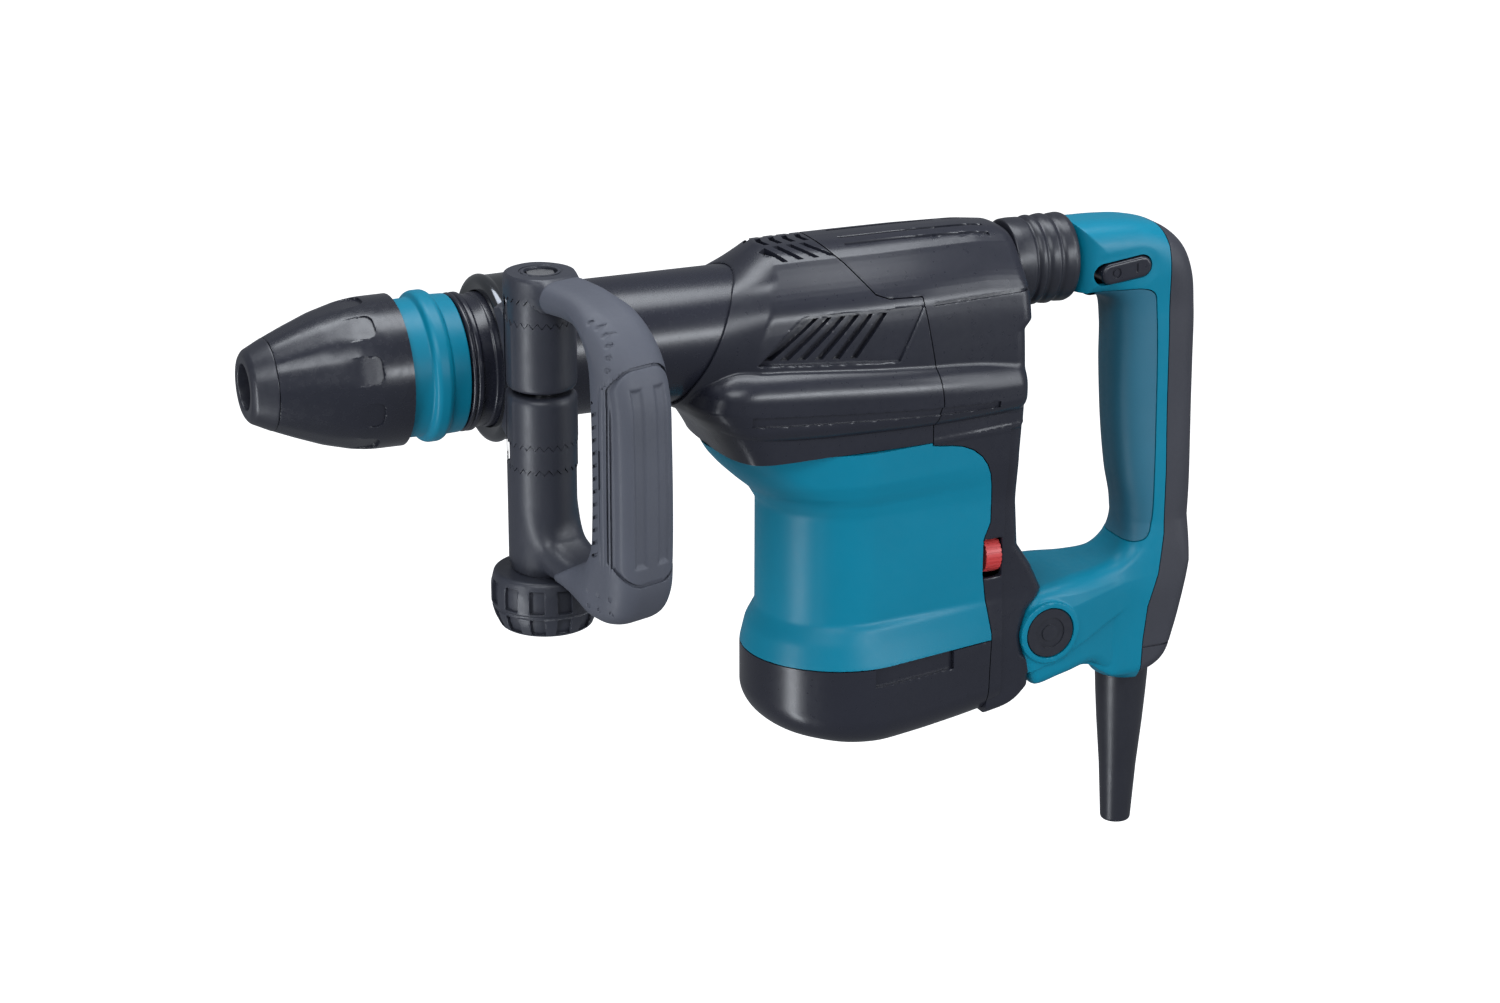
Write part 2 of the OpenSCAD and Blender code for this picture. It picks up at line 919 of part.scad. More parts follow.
module handle_bellows() {
    color(black)
        translate([0, 0, bellows_z])
            turned_x([[rear_x + 0.7, 14], [rear_x + 0.7, 17], [364, 17.2], [366, 17.8], [369, 20], [371, 20],
                [373, 18], [376, 20.4], [378, 20.4], [380, 18.2], [383, 20.8], [386, 20.8], [387.5, 18.8],
                [389.6, 18.6], [389.6, 14]]);
}

module handle_spring() {
    color(steel)
        translate([0, 0, bellows_z])
            spring_x(355.2, 393, 10.4, 1.5, 6);
}

module pivot_pin() {
    color(steel)
        translate([pivot_x, 0, pivot_z])
            rod_y(-26, 26, 5);
}

module pivot_caps() {
    color(black)
        translate([pivot_x, 0, pivot_z])
            for (side = [0, 180])
                rotate([0, 0, side])
                    difference() {
                        union() {
                            rod_y(-30.6, -29.2, 12);
                            rod_y(-29.3, -22, 8 - run);
                        }
                        rod_y(-27, -20, 5 + run);
                        difference() {
                            rod_y(-32, -30, 7.6);
                            rod_y(-33, -29, 4);
                        }
                    }
}

module switch_body() {
    color(black)
        block([417, -11, -8], [430, 11, 3]);
}

module switch_slider() {
    color(black)
        hull()
            for (x = [402, 420])
                translate([x, 0, 9.5])
                    rod_y(-21, 21, 4, $fn = 32);
}

module speed_dial() {
    color(red)
        translate([dial_x, dial_y, dial_z])
            rotate([0, 90, 0])
                difference() {
                    translate([0, 0, -3.9])
                        cylinder(h = 7.8, r = dial_r);
                    for (i = [0:23])
                        rotate([0, 0, 15 * i])
                            translate([dial_r - 0.5, -0.5, -5])
                                cube([1, 1, 10]);
                }
}

module speed_controller() {
    color(black)
        block([339, -14, -150], [353, 14, -90]);
}

module handle_screws() {
    color(dark_steel)
        for (p = handle_screw_xz)
            translate([p[0], handle_half_w, p[1]])
                rotate([90, 0, 0])
                    screw_z(0, 22, 2);
}

module cord_guard() {
    color(black)
        translate([430.5, 0, -194])
            difference() {
                union() {
                    translate([0, 0, -guard_len])
                        cylinder(h = guard_len, r1 = 7.4, r2 = guard_r);
                    rod_z(-eps, 7, guard_r);
                }
                rod_z(-guard_len - 1, 20, 4.6);
            }
}

nose_cap();
release_cover();
change_ring();
tool_holder();
locking_rollers();
guide_washer();
release_spring();
spring_seat();
barrel();
clamp_band();
grip_upper_jaw();
grip_lower_jaw();
grip_index_rings();
grip_bolt();
grip_knob();
grip_frame();
grip_sleeve();
impact_bolt();
cylinder_tube();  // cylinder
striker();
striker_o_ring();
piston();
piston_o_ring();
piston_pin();
connecting_rod();
crank_pin();
crankshaft();
crank_gear();
crank_bearings();
counterweight();
counterweight_spring_front();
counterweight_spring_rear();
crank_housing();
gear_plate();
armature_shaft();
armature_core();
commutator();
cooling_fan();
field_stator();
motor_bearings();
brush_holders();
carbon_brushes();
front_housing();
rear_housing();
motor_housing();
bottom_cover();
handle_body();
handle_cover();
handle_bellows();
handle_spring();
pivot_pin();
pivot_caps();
switch_body();
switch_slider();
speed_dial();
speed_controller();
housing_screws();
handle_screws();
cord_guard();
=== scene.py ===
"""Looks of a corded chipping hammer of the rotary hammer family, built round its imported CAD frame.

The moulded shells are signed distance fields, meshed by dual contouring. Turned pieces are outlines swept
about an axis. Every other part keeps its CAD mesh. Lengths are in millimetres until a mesh is made.
"""

import json
import math

import bpy
import numpy as np
from mathutils import Matrix, Vector


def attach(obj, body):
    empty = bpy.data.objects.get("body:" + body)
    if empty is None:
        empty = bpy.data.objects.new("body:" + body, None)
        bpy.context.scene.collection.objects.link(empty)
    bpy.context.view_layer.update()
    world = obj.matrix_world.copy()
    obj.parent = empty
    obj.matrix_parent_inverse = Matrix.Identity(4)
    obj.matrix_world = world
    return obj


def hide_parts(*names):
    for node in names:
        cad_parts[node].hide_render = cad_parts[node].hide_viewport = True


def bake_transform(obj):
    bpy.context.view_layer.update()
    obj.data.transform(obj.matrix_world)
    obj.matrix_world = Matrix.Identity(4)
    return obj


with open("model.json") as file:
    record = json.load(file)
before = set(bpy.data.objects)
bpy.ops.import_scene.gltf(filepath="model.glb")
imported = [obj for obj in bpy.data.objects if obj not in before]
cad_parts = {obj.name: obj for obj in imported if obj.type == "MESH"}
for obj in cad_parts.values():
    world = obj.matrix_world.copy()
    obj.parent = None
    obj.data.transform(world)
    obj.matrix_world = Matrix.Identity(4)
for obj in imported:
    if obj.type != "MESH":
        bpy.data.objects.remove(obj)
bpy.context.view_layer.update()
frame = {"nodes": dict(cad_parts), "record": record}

MM = 0.001
COARSE = 1.0

# ---------- sizes shared with the CAD, millimetres ----------

BARREL_R = 29.7
SPLIT_Z = -53.0
CAP_Z = -158.0
MOTOR_X = 272.5
BELLOWS_Z = 16.0
WALL = 2.6
GAP = 0.25
POST = (111.0, -51.0)
POST_R = 14.8
GRIP_ANGLE = math.radians(18)
KNOB_Z = (-106.5, -81.2)
PIVOT = (373.0, -160.5)
GUARD_X = 430.5
HANDLE_SCREWS = [(412, 25), (425, -30), (431, -110)]
INDEX_TEETH = 24
COVER_FLUTES = 10
KNOB_RIBS = 12
JAW_SEAT_R = 38.1


# ---------- mixing and shaping distances ----------


def smooth_min(a, b, k):
    h = np.clip(0.5 + 0.5 * (b - a) / k, 0, 1)
    return b + (a - b) * h - k * h * (1 - h)


def smooth_max(a, b, k):
    return -smooth_min(-a, -b, k)


def rounded(a, b, r):
    """Common part of two solids, with their shared edge rounded to the radius r."""
    return np.hypot(np.maximum(a + r, 0), np.maximum(b + r, 0)) + np.minimum(np.maximum(a, b) + r, 0) - r


def cut(solid, tool, k=0.0):
    """The solid without the tool, with the new edge rounded over k."""
    return smooth_max(solid, -tool, k) if k else np.maximum(solid, -tool)


def shell(solid, thickness=WALL):
    return np.maximum(solid, -solid - thickness)


def box(x, y, z, low, high, r=0.0):
    """Distance to a box with corners rounded by r."""
    parts = []
    for value, a, b in zip((x, y, z), low, high):
        parts.append(np.abs(value - (a + b) / 2) - (b - a) / 2 + r)
    outside = np.sqrt(sum(np.maximum(p, 0) ** 2 for p in parts))
    return outside + np.minimum(np.maximum(np.maximum(parts[0], parts[1]), parts[2]), 0) - r


def capped_rod(axial, radial, low, high, r, edge=0.0):
    """Distance to a round rod from its axial and radial coordinates."""
    a = np.abs(axial - (low + high) / 2) - (high - low) / 2 + edge
    b = radial - r + edge
    return np.hypot(np.maximum(a, 0), np.maximum(b, 0)) + np.minimum(np.maximum(a, b), 0) - edge


def tapered_pair(x, y, x1, r1, x2, r2):
    """Distance in plan to the outline round two circles on the x axis."""
    run = x2 - x1
    slope = (r1 - r2) / run
    rise = np.sqrt(np.maximum(1 - slope**2, 1e-6))
    side = np.abs(y)
    along = x - x1
    k = rise * along - slope * side
    first = np.hypot(along, side) - r1
    second = np.hypot(along - run, side) - r2
    flank = side * rise + along * slope - r1
    return np.where(k < 0, first, np.where(k > rise * run, second, flank))


def tapered(x, y, first, middle, last):
    """Distance in plan to the outline round three circles, each (place along x, radius)."""
    return np.minimum(tapered_pair(x, y, *first, *middle), tapered_pair(x, y, *middle, *last))


def eased(pairs, soft):
    """A function along a broken line whose corners are rounded over soft millimetres."""
    at, to = np.array(sorted(pairs), float).T
    grid = np.arange(at[0] - 3 * soft, at[-1] + 3 * soft, 0.25)
    window = np.hanning(int(soft / 0.25) * 2 + 3)
    values = np.convolve(np.interp(grid, at, to), window / window.sum(), "valid")
    trim = (len(window) - 1) // 2
    return lambda t: np.interp(t, grid[trim:-trim], values)


def curve_through(points, per=8):
    """Closed centripetal curve through the points; a point given twice stays a corner."""
    points = np.asarray(points, float)
    result = []
    n = len(points)
    for i in range(n):
        p0, p1, p2, p3 = (points[(i + k) % n] for k in (-1, 0, 1, 2))
        if np.allclose(p1, p2):
            continue
        p0 = 2 * p1 - p2 if np.allclose(p0, p1) else p0
        p3 = 2 * p2 - p1 if np.allclose(p3, p2) else p3
        t1 = np.linalg.norm(p1 - p0) ** 0.5
        t2 = t1 + np.linalg.norm(p2 - p1) ** 0.5
        t3 = t2 + np.linalg.norm(p3 - p2) ** 0.5
        for t in np.linspace(t1, t2, per, endpoint=False):
            a1 = p0 + (p1 - p0) * t / t1
            a2 = p1 + (p2 - p1) * (t - t1) / (t2 - t1)
            a3 = p2 + (p3 - p2) * (t - t2) / (t3 - t2)
            b1 = a1 + (a2 - a1) * t / t2
            b2 = a2 + (a3 - a2) * (t - t1) / (t3 - t1)
            result.append(b1 + (b2 - b1) * (t - t1) / (t2 - t1))
    return np.array(result)


class Outline:
    """Signed distance to a closed outline in a plane, read from a fine grid."""

    def __init__(self, points, smooth=True, step=0.4, margin=26.0):
        ring = curve_through(points) if smooth else np.asarray(points, float)
        self.low = ring.min(0) - margin
        self.step = step
        counts = np.ceil((ring.max(0) + margin - self.low) / step).astype(int) + 1
        u = self.low[0] + step * np.arange(counts[0])[:, None]
        v = self.low[1] + step * np.arange(counts[1])[None, :]
        nearest = np.full(counts, 1e9)
        inside = np.zeros(counts, bool)
        for (u1, v1), (u2, v2) in zip(ring, np.roll(ring, -1, 0)):
            du, dv = u2 - u1, v2 - v1
            if du == 0 and dv == 0:
                continue
            t = np.clip(((u - u1) * du + (v - v1) * dv) / (du * du + dv * dv), 0, 1)
            np.minimum(nearest, (u - u1 - t * du) ** 2 + (v - v1 - t * dv) ** 2, out=nearest)
            if v1 != v2:
                crosses = ((v1 > v) != (v2 > v)) & (u < du * (v - v1) / dv + u1)
                inside ^= crosses
        self.grid = np.where(inside, -1, 1) * np.sqrt(nearest)

    def __call__(self, u, v):
        fu = np.clip((u - self.low[0]) / self.step, 0, self.grid.shape[0] - 1.001)
        fv = np.clip((v - self.low[1]) / self.step, 0, self.grid.shape[1] - 1.001)
        iu, iv = fu.astype(int), fv.astype(int)
        fu, fv = fu - iu, fv - iv
        g = self.grid
        lower = g[iu, iv] * (1 - fu) + g[iu + 1, iv] * fu
        upper = g[iu, iv + 1] * (1 - fu) + g[iu + 1, iv + 1] * fu
        return lower * (1 - fv) + upper * fv


# ---------- meshing a field ----------

# cells from the surface within which the field is worked out in full
NEAR_CELLS = 7.2
# step for the direction of the surface
NORMAL_STEP = 0.04
# pull of each vertex to the middle of its cell's crossings
MEAN_PULL = 0.06


def sample_grid(field, axes):
    """Values of the field at every grid point, worked out in full only near its surface."""
    coarse = field(*np.meshgrid(*(a[::4] for a in axes), indexing="ij"))
    near = np.abs(coarse) < NEAR_CELLS * (axes[0][1] - axes[0][0])
    index = [np.minimum((np.arange(len(a)) + 2) // 4, n - 1) for a, n in zip(axes, coarse.shape)]
    pick = np.ix_(*index)
    values = coarse[pick]
    i, j, k = np.nonzero(near[pick])
    values[i, j, k] = field(axes[0][i], axes[1][j], axes[2][k])
    return values


def crossings(field, values, low, cell):
    """Places and directions of the surface on the grid's edges, with each edge's axis and index."""
    edges, starts, ends, v0, v1 = [], [], [], [], []
    for axis in range(3):
        first = [slice(None)] * 3
        second = [slice(None)] * 3
        first[axis] = slice(0, -1)
        second[axis] = slice(1, None)
        a, b = values[tuple(first)], values[tuple(second)]
        at = np.argwhere((a < 0) != (b < 0))
        step = np.zeros(3)
        step[axis] = cell
        edges.append(np.c_[np.full(len(at), axis), at])
        starts.append(low + at * cell)
        ends.append(low + at * cell + step)
        v0.append(a[tuple(at.T)])
        v1.append(b[tuple(at.T)])
    edges, p, q = np.concatenate(edges), np.concatenate(starts), np.concatenate(ends)
    v0, v1 = np.concatenate(v0), np.concatenate(v1)
    for _ in range(3):
        t = np.clip(v0 / (v0 - v1), 0.05, 0.95)[:, None]
        middle = p + t * (q - p)
        v = field(*middle.T)
        lower = (v < 0) == (v0 < 0)
        p = np.where(lower[:, None], middle, p)
        v0 = np.where(lower, v, v0)
        q = np.where(lower[:, None], q, middle)
        v1 = np.where(lower, v1, v)
    t = (v0 / (v0 - v1))[:, None]
    place = p + t * (q - p)
    corners = np.array([[1, -1, -1], [-1, -1, 1], [-1, 1, -1], [1, 1, 1]], float)
    normal = sum(c * field(*(place + NORMAL_STEP * c).T)[:, None] for c in corners)
    normal /= np.linalg.norm(normal, axis=1, keepdims=True) + 1e-12
    return edges, place, normal


def cell_rings(edges, lower, counts):
    """For each crossed edge its row and the four cells round it, wound outwards."""
    stride = np.array([counts[1] * counts[2], counts[2], 1])
    rows, rings = [], []
    for axis in range(3):
        b, c = (axis + 1) % 3, (axis + 2) % 3
        mine = edges[:, 0] == axis
        base = edges[mine, 1:] @ stride
        ring = np.stack([base - stride[b] - stride[c], base - stride[c], base, base - stride[b]], 1)
        flip = ~lower[mine]
        ring[flip] = ring[flip][:, ::-1]
        rows.append(np.nonzero(mine)[0])
        rings.append(ring)
    return np.concatenate(rows), np.concatenate(rings)


def fitted_vertices(place, normal, member, source, n):
    """The point nearest all the surface's planes in each of n cells."""

    def gather(weights):
        return np.bincount(member, weights[source], n)

    share = np.bincount(member, minlength=n).astype(float)
    mean = np.stack([gather(place[:, a]) for a in range(3)], 1) / share[:, None]
    offset = np.einsum("ij,ij->i", normal, place)
    ata = np.empty((n, 3, 3))
    atb = np.empty((n, 3))
    for a in range(3):
        for b in range(a, 3):
            ata[:, a, b] = ata[:, b, a] = gather(normal[:, a] * normal[:, b])
        atb[:, a] = gather(normal[:, a] * offset)
    atb -= np.einsum("nij,nj->ni", ata, mean)
    ata += np.eye(3) * MEAN_PULL
    return mean + np.linalg.solve(ata, atb[:, :, None])[:, :, 0]


def contour(field, low, high, cell):
    """Vertices and quads of a field's surface, with its sharp edges kept."""
    cell *= COARSE
    low = np.asarray(low, float)
    counts = np.ceil((np.asarray(high, float) - low) / cell / 4).astype(int) * 4 + 1
    axes = [low[a] + cell * np.arange(counts[a]) for a in range(3)]
    values = sample_grid(field, axes)
    edges, place, normal = crossings(field, values, low, cell)
    lower = values[tuple(edges[:, 1:].T)] < 0
    rows, rings = cell_rings(edges, lower, counts)
    cells, member = np.unique(rings.ravel(), return_inverse=True)
    member = member.reshape(-1)
    vertices = fitted_vertices(place, normal, member, np.repeat(rows, 4), len(cells))
    corner = [cells // (counts[1] * counts[2]), cells // counts[2] % counts[1], cells % counts[2]]
    corner = low + cell * np.stack(corner, 1)
    return np.clip(vertices, corner, corner + cell), member.reshape(-1, 4)


def mesh_object(name, vertices, faces, sharp=32):
    """A mesh of quads, from millimetres, with creases over the sharp angle in degrees."""
    mesh = bpy.data.meshes.new(name)
    faces = np.asarray(faces, np.int32)
    mesh.vertices.add(len(vertices))
    mesh.vertices.foreach_set("co", (np.asarray(vertices) * MM).astype(np.float32).ravel())
    mesh.loops.add(faces.size)
    mesh.loops.foreach_set("vertex_index", faces.ravel())
    mesh.polygons.add(len(faces))
    mesh.polygons.foreach_set("loop_start", np.arange(len(faces), dtype=np.int32) * 4)
    mesh.update(calc_edges=True)
    mesh.validate()
    mesh.polygons.foreach_set("use_smooth", np.ones(len(mesh.polygons), bool))
    mesh.set_sharp_from_angle(angle=math.radians(sharp))
    obj = bpy.data.objects.new(name, mesh)
    bpy.context.scene.collection.objects.link(obj)
    return obj


def moulded(name, field, low, high, cell):
    return mesh_object(name, *contour(field, low, high, cell))


# ---------- turned pieces ----------


def filleted(points, radius, steps=4):
    """A closed outline of (along, out) points with its corners rounded."""
    points = np.asarray(points, float)
    result = []
    for i, p in enumerate(points):
        before, after = points[i - 1] - p, points[(i + 1) % len(points)] - p
        la, lb = np.linalg.norm(before), np.linalg.norm(after)
        reach = min(radius, 0.45 * la, 0.45 * lb)
        a, b = p + before / la * reach, p + after / lb * reach
        for t in np.linspace(0, 1, steps + 1):
            result.append((1 - t) ** 2 * a + 2 * t * (1 - t) * p + t**2 * b)
    return np.array(result)


def turned(name, points, radius=0.5, sides=160, axis="x", centre=(0, 0, 0), squeeze=1.0):
    """A closed (along, out) outline swept about an axis; squeeze narrows it sideways."""
    outline = filleted(points, radius)
    n = len(outline)
    angle = np.arange(sides) * 2 * math.pi / sides
    along = np.repeat(outline[None, :, 0], sides, 0)
    u = outline[None, :, 1] * np.cos(angle)[:, None] * squeeze
    v = outline[None, :, 1] * np.sin(angle)[:, None]
    order = (along, u, v) if axis == "x" else (u, v, along)
    vertices = np.stack([c.ravel() for c in order], 1) + np.array(centre)
    i = np.arange(sides)[:, None]
    k = np.arange(n)[None, :]
    i2, k2 = (i + 1) % sides, (k + 1) % n
    faces = np.stack([i * n + k, i2 * n + k, i2 * n + k2, i * n + k2], -1).reshape(-1, 4)
    signed = np.sum(outline[:, 0] * np.roll(outline[:, 1], -1) - np.roll(outline[:, 0], -1) * outline[:, 1])
    if (signed > 0) != (axis == "x"):
        faces = faces[:, ::-1]
    return mesh_object(name, vertices, faces, sharp=40)


# ---------- nose and sleeves ----------


def release_cover_field(x, y, z):
    """Tapered cover with flat finger flutes that end in rounded steps."""
    rho = np.hypot(y, z)
    radius = COVER_RADIUS(x)
    solid = (rho - radius) * 0.95
    sector = 2 * math.pi / COVER_FLUTES
    angle = np.arctan2(z, y) + 0.32
    local = angle - sector * np.round(angle / sector)
    u = rho * np.cos(local)
    v = rho * np.sin(local)
    sink = np.clip((x - 30) / 18, 0, 1)
    flat = (u - radius + 0.34 + 1.0 * sink * sink * (3 - 2 * sink)) * 0.95
    end = np.hypot(np.maximum(x - 43.5, 0), np.maximum(np.abs(v) - 2.4, 0)) - 3.6
    solid = cut(solid, np.maximum(-flat, end), 0.35)
    solid = np.maximum(solid, np.maximum(4.7 - x, x - 60.2))
    inner = rho - np.interp(x, [4.7, 14, 38, 51, 52], [14.3, 19.2, 28.0, 30.0, 31.4])
    return np.maximum(solid, -inner)


COVER_RADIUS = eased(
    [(0, 17.6), (4.4, 20.2), (14, 24.2), (26, 28.8), (38, 32.0), (44, 32.9), (48, 33.2), (62, 33.3)], 3
)


def nose_pieces():
    cap = turned(
        "nose_cap_look",
        [
            (-6, 10.05), (-6, 13.8), (-4.4, 16.0), (3.2, 19.7), (4.5, 20.3), (4.5, 14.1), (0.1, 14.1),
            (0.1, 10.05),
        ],
        0.9,
    )
    cover = moulded("release_cover_look", release_cover_field, (3, -36, -36), (62, 36, 36), 0.5)
    ring = turned(
        "change_ring_look",
        [
            (60.7, 29.6), (60.7, 30.2), (69.4, 30.4), (70.6, 32.6), (72.2, 33.3), (76.2, 33.3),
            (77.8, 32.5), (78.6, 30.8), (86.5, 30.5), (86.5, 28.7), (76, 28.7), (74, 20.2), (66, 20.2),
            (64, 29.6),
        ],
        0.7,
    )
    tube = turned(
        "barrel_look",
        [
            (87.3, 20.6), (87.3, 29.8), (88, 30.6), (89, 30.6), (89.5, 29.5), (90.2, 30.6), (92, 30.6),
            (92.8, 29.2), (98, 29.2), (98.6, BARREL_R), (220.6, BARREL_R), (220.6, 28.3), (209, 28.3),
            (209, 24.1), (190, 24.1), (190, 28), (126, 28), (126, 24.1), (118, 24.1), (118, 22.6),
            (91, 22.6), (91, 20.6),
        ],
        0.45,
    )
    band = turned(
        "clamp_band_look",
        [
            (101, 30.0), (100.4, 34.4), (101.4, 36.4), (103.4, 37.3), (105, 37.0), (106, 36.4),
            (118.6, 36.6), (119.8, 37.2), (121.4, 37.3), (122.6, 36.2), (122.6, 30.0),
        ],
        0.9,
    )
    return {
        "release_sleeve": [(cover, "release_cover", "gloss_black")],
        "holder": [(cap, "nose_cap", "black_rubber")],
        "change_sleeve": [(ring, "change_ring", "teal_plastic")],
        "machine": [(tube, "barrel", "black_paint")],
        "grip_clamp": [(band, "clamp_band", "dark_steel")],
    }


# ---------- side grip ----------


def at_post(x, y, z, angle=GRIP_ANGLE):
    """Coordinates in the side grip's own frame, with the hand grip along its negative second axis."""
    dx, dy = x - POST[0], y - POST[1]
    c, s = math.cos(angle), math.sin(angle)
    return dx * c + dy * s, -dx * s + dy * c, z


def index_wave(u, v, height=1.2):
    """Height of the ring of index teeth at a place round the post."""
    turn = np.arctan2(v, u) * INDEX_TEETH / (2 * math.pi)
    return height * (4 * np.abs(turn - np.floor(turn) - 0.5) - 1)


def jaw_field(low, high, top_teeth):
    def field(x, y, z):
        dx, dy = x - POST[0], y - POST[1]
        post = np.hypot(dx, dy) - POST_R
        block = np.maximum(np.abs(x - POST[0]) - 12.2, np.maximum(POST[1] - y, y + 25))
        plan = smooth_min(post, block, 5)
        wave = index_wave(*at_post(x, y, z)[:2])
        top = (z - high - (wave if top_teeth else 0)) * 0.8
        bottom = (low + (0 if top_teeth else wave) - z) * 0.8
        solid = smooth_max(plan, bottom if top_teeth else top, 3.0)
        solid = np.maximum(solid, np.maximum(top, bottom))
        seat = JAW_SEAT_R - np.hypot(y, z)
        return np.maximum(np.maximum(solid, seat), 4.5 - np.hypot(dx, dy))

    return field


def ring_field(low, high):
    def field(x, y, z):
        u, v, _ = at_post(x, y, z)
        wave = index_wave(u, v)
        ends = np.maximum(low + wave - z, z - high - wave) * 0.8
        rho = np.hypot(u, v)
        return np.maximum(np.maximum(ends, rho - POST_R + 0.15), 4.6 - rho)

    return field


LOOP = Outline(
    [
        (14, 51.6), (14, 51.6), (-14, 51.4), (-38, 48.6), (-54, 42.5), (-66.5, 30), (-72.8, 13),
        (-74.2, -8), (-74.4, -58), (-73, -75), (-67.5, -85), (-58, -89), (-48, -88.8), (-36, -86),
        (-24, -82.2), (-12, -80.8), (14, -80.8), (14, -80.8),
    ]
)
WINDOW = Outline(
    [
        (-6, 37), (-6, 37), (-30, 37), (-39.5, 34), (-45, 26), (-46.8, 12), (-47, -44), (-45.5, -57),
        (-39.5, -65), (-31, -68.6), (-23.5, -67.6), (-17, -64.5), (-12.5, -59.5), (-9, -54), (-6, -50),
        (-6, -50),
    ]
)
SLEEVE_END = Outline(
    [
        (-14.5, 60), (-14.5, 38), (-17, 34.5), (-30, 30), (-44, 20), (-44, -50), (-43, -60),
        (-33, -68.5), (-21, -76), (-16, -84), (-17, -100), (-90, -100), (-90, 60),
    ],
    smooth=False,
)


def grip_solid(u, v, z):
    """Outside of the whole side grip but for its post."""
    loop = np.maximum(LOOP(v, z), -WINDOW(v, z))
    bar = np.clip((v + 30) / -20, 0, 1)
    half = 13.2 + 2.8 * bar * bar * (3 - 2 * bar)
    return smooth_max(loop, np.abs(u + 1.1 * bar) - half, 9 + 3 * bar)


def grip_frame_field(x, y, z):
    """Hard plastic frame of the side grip: the post's ends and the roots of its arms."""
    u, v, z = at_post(x, y, z)
    rho = np.hypot(u, v)
    wave = index_wave(u, v)
    ends = np.where(z > 0, (41.6 + wave - z) * 0.8, (z + 33.8 - wave) * 0.8)
    post = np.maximum(rho - POST_R + np.where(z < 0, 0.7, 0), np.maximum(z - 52.3, -80.8 - z))
    arms = np.maximum(grip_solid(u, v, z) + 0.4, -SLEEVE_END(v, z) - 5)
    solid = smooth_max(smooth_min(post, arms, 4), z - 52.3, 2.5)
    solid = np.maximum(solid, np.where(rho < POST_R + 1, ends, -9))
    bore = np.maximum(rho - 7.3, 46 - z)
    rim = np.maximum(np.abs(rho - 9.0) - 0.45, 51.5 - z)
    mark = np.maximum(np.abs(np.hypot(u + 2.0, z + 50) - 2.0) - 0.45, v + POST_R - 0.6)
    for tool in (rho - 4.4, bore, rim, mark):
        solid = cut(solid, tool)
    return solid


def dimples(u, v, z):
    """Small round dimples pressed into the sleeve's corners."""
    deep = np.full(np.shape(u), 9.0)
    for k in range(11):
        turn = math.radians(8 + 16 * (k % 6))
        reach = 17.5 + 6.5 * (k // 6)
        a, b = -47 - reach * math.sin(turn) * 0.9, 25 + reach * math.cos(turn)
        deep = np.minimum(deep, np.hypot(v - a, z - b) - 0.9)
    for k in range(6):
        a, b = -50 - 7 * (k % 3), -74 - 6.5 * (k // 3)
        deep = np.minimum(deep, np.hypot(v - a, z - b) - 0.9)
    return np.maximum(deep, u)


def sleeve_field(x, y, z):
    """Soft sleeve moulded over the side grip's loop."""
    u, v, z = at_post(x, y, z)
    form = grip_solid(u, v, z)
    solid = smooth_max(form, SLEEVE_END(v, z), 1.8)
    panel = np.hypot(np.maximum(np.abs(u + 1.6) - 4.8, 0), np.maximum(np.abs(z + 21) - 37, 0)) - 9.6
    line = np.maximum(np.abs(panel) - 0.6, v + 58)
    solid = cut(solid, np.maximum(line, -form - 1.0), 0.5)
    for centre in (-7.4, 4.4):
        flute = np.maximum(np.abs(u - centre) - 2.3, np.abs(z + 21) - 38)
        solid = cut(solid, smooth_max(flute, np.maximum(-form - 0.9, v + 60), 1.5), 1.5)
    rib = (z + 0.5 * v) / 5.6
    slot = np.abs(rib - np.round(rib)) * 5.6 - 0.8
    slots = np.maximum(np.maximum(slot, np.abs(v + 54.5) - 2.6), np.maximum(np.abs(z + 24) - 34, u + 6))
    solid = cut(solid, np.maximum(slots, -form - 0.8), 0.4)
    solid = cut(solid, np.maximum(dimples(u, v, z), -form - 0.5), 0.6)
    return cut(solid, form + 4.0)


def knob_field(x, y, z):
    dx, dy = x - POST[0], y - POST[1]
    rho = np.hypot(dx, dy)
    low, high = KNOB_Z
    radius = KNOB_RADIUS(z)
    solid = smooth_max((rho - radius) * 0.95, np.maximum(low - z, z - high), 1.6)
    sector = 2 * math.pi / KNOB_RIBS
    angle = np.arctan2(dy, dx)
    local = rho * np.sin(angle - sector * np.round(angle / sector))
    for a, b, half in ((low + 11.8, low + 21.8, 3.2), (low + 1.2, low + 9.0, 3.2)):
        pocket = box(rho - radius, local, z, (-1.7, -half, a), (6, half, b), 0.4)
        solid = cut(solid, pocket, 0.5)
    groove = np.hypot(rho - radius - 0.2, z - low - 10) - 0.9
    solid = cut(solid, groove, 0.4)
    return np.maximum(solid, 4.3 - rho)


KNOB_RADIUS = eased([
    (-112, 18.6), (-106, 20.2), (-101, 22.6), (-96, 24.0), (-87, 24.0), (-81, 22.4), (-76, 21.2),
], 2)


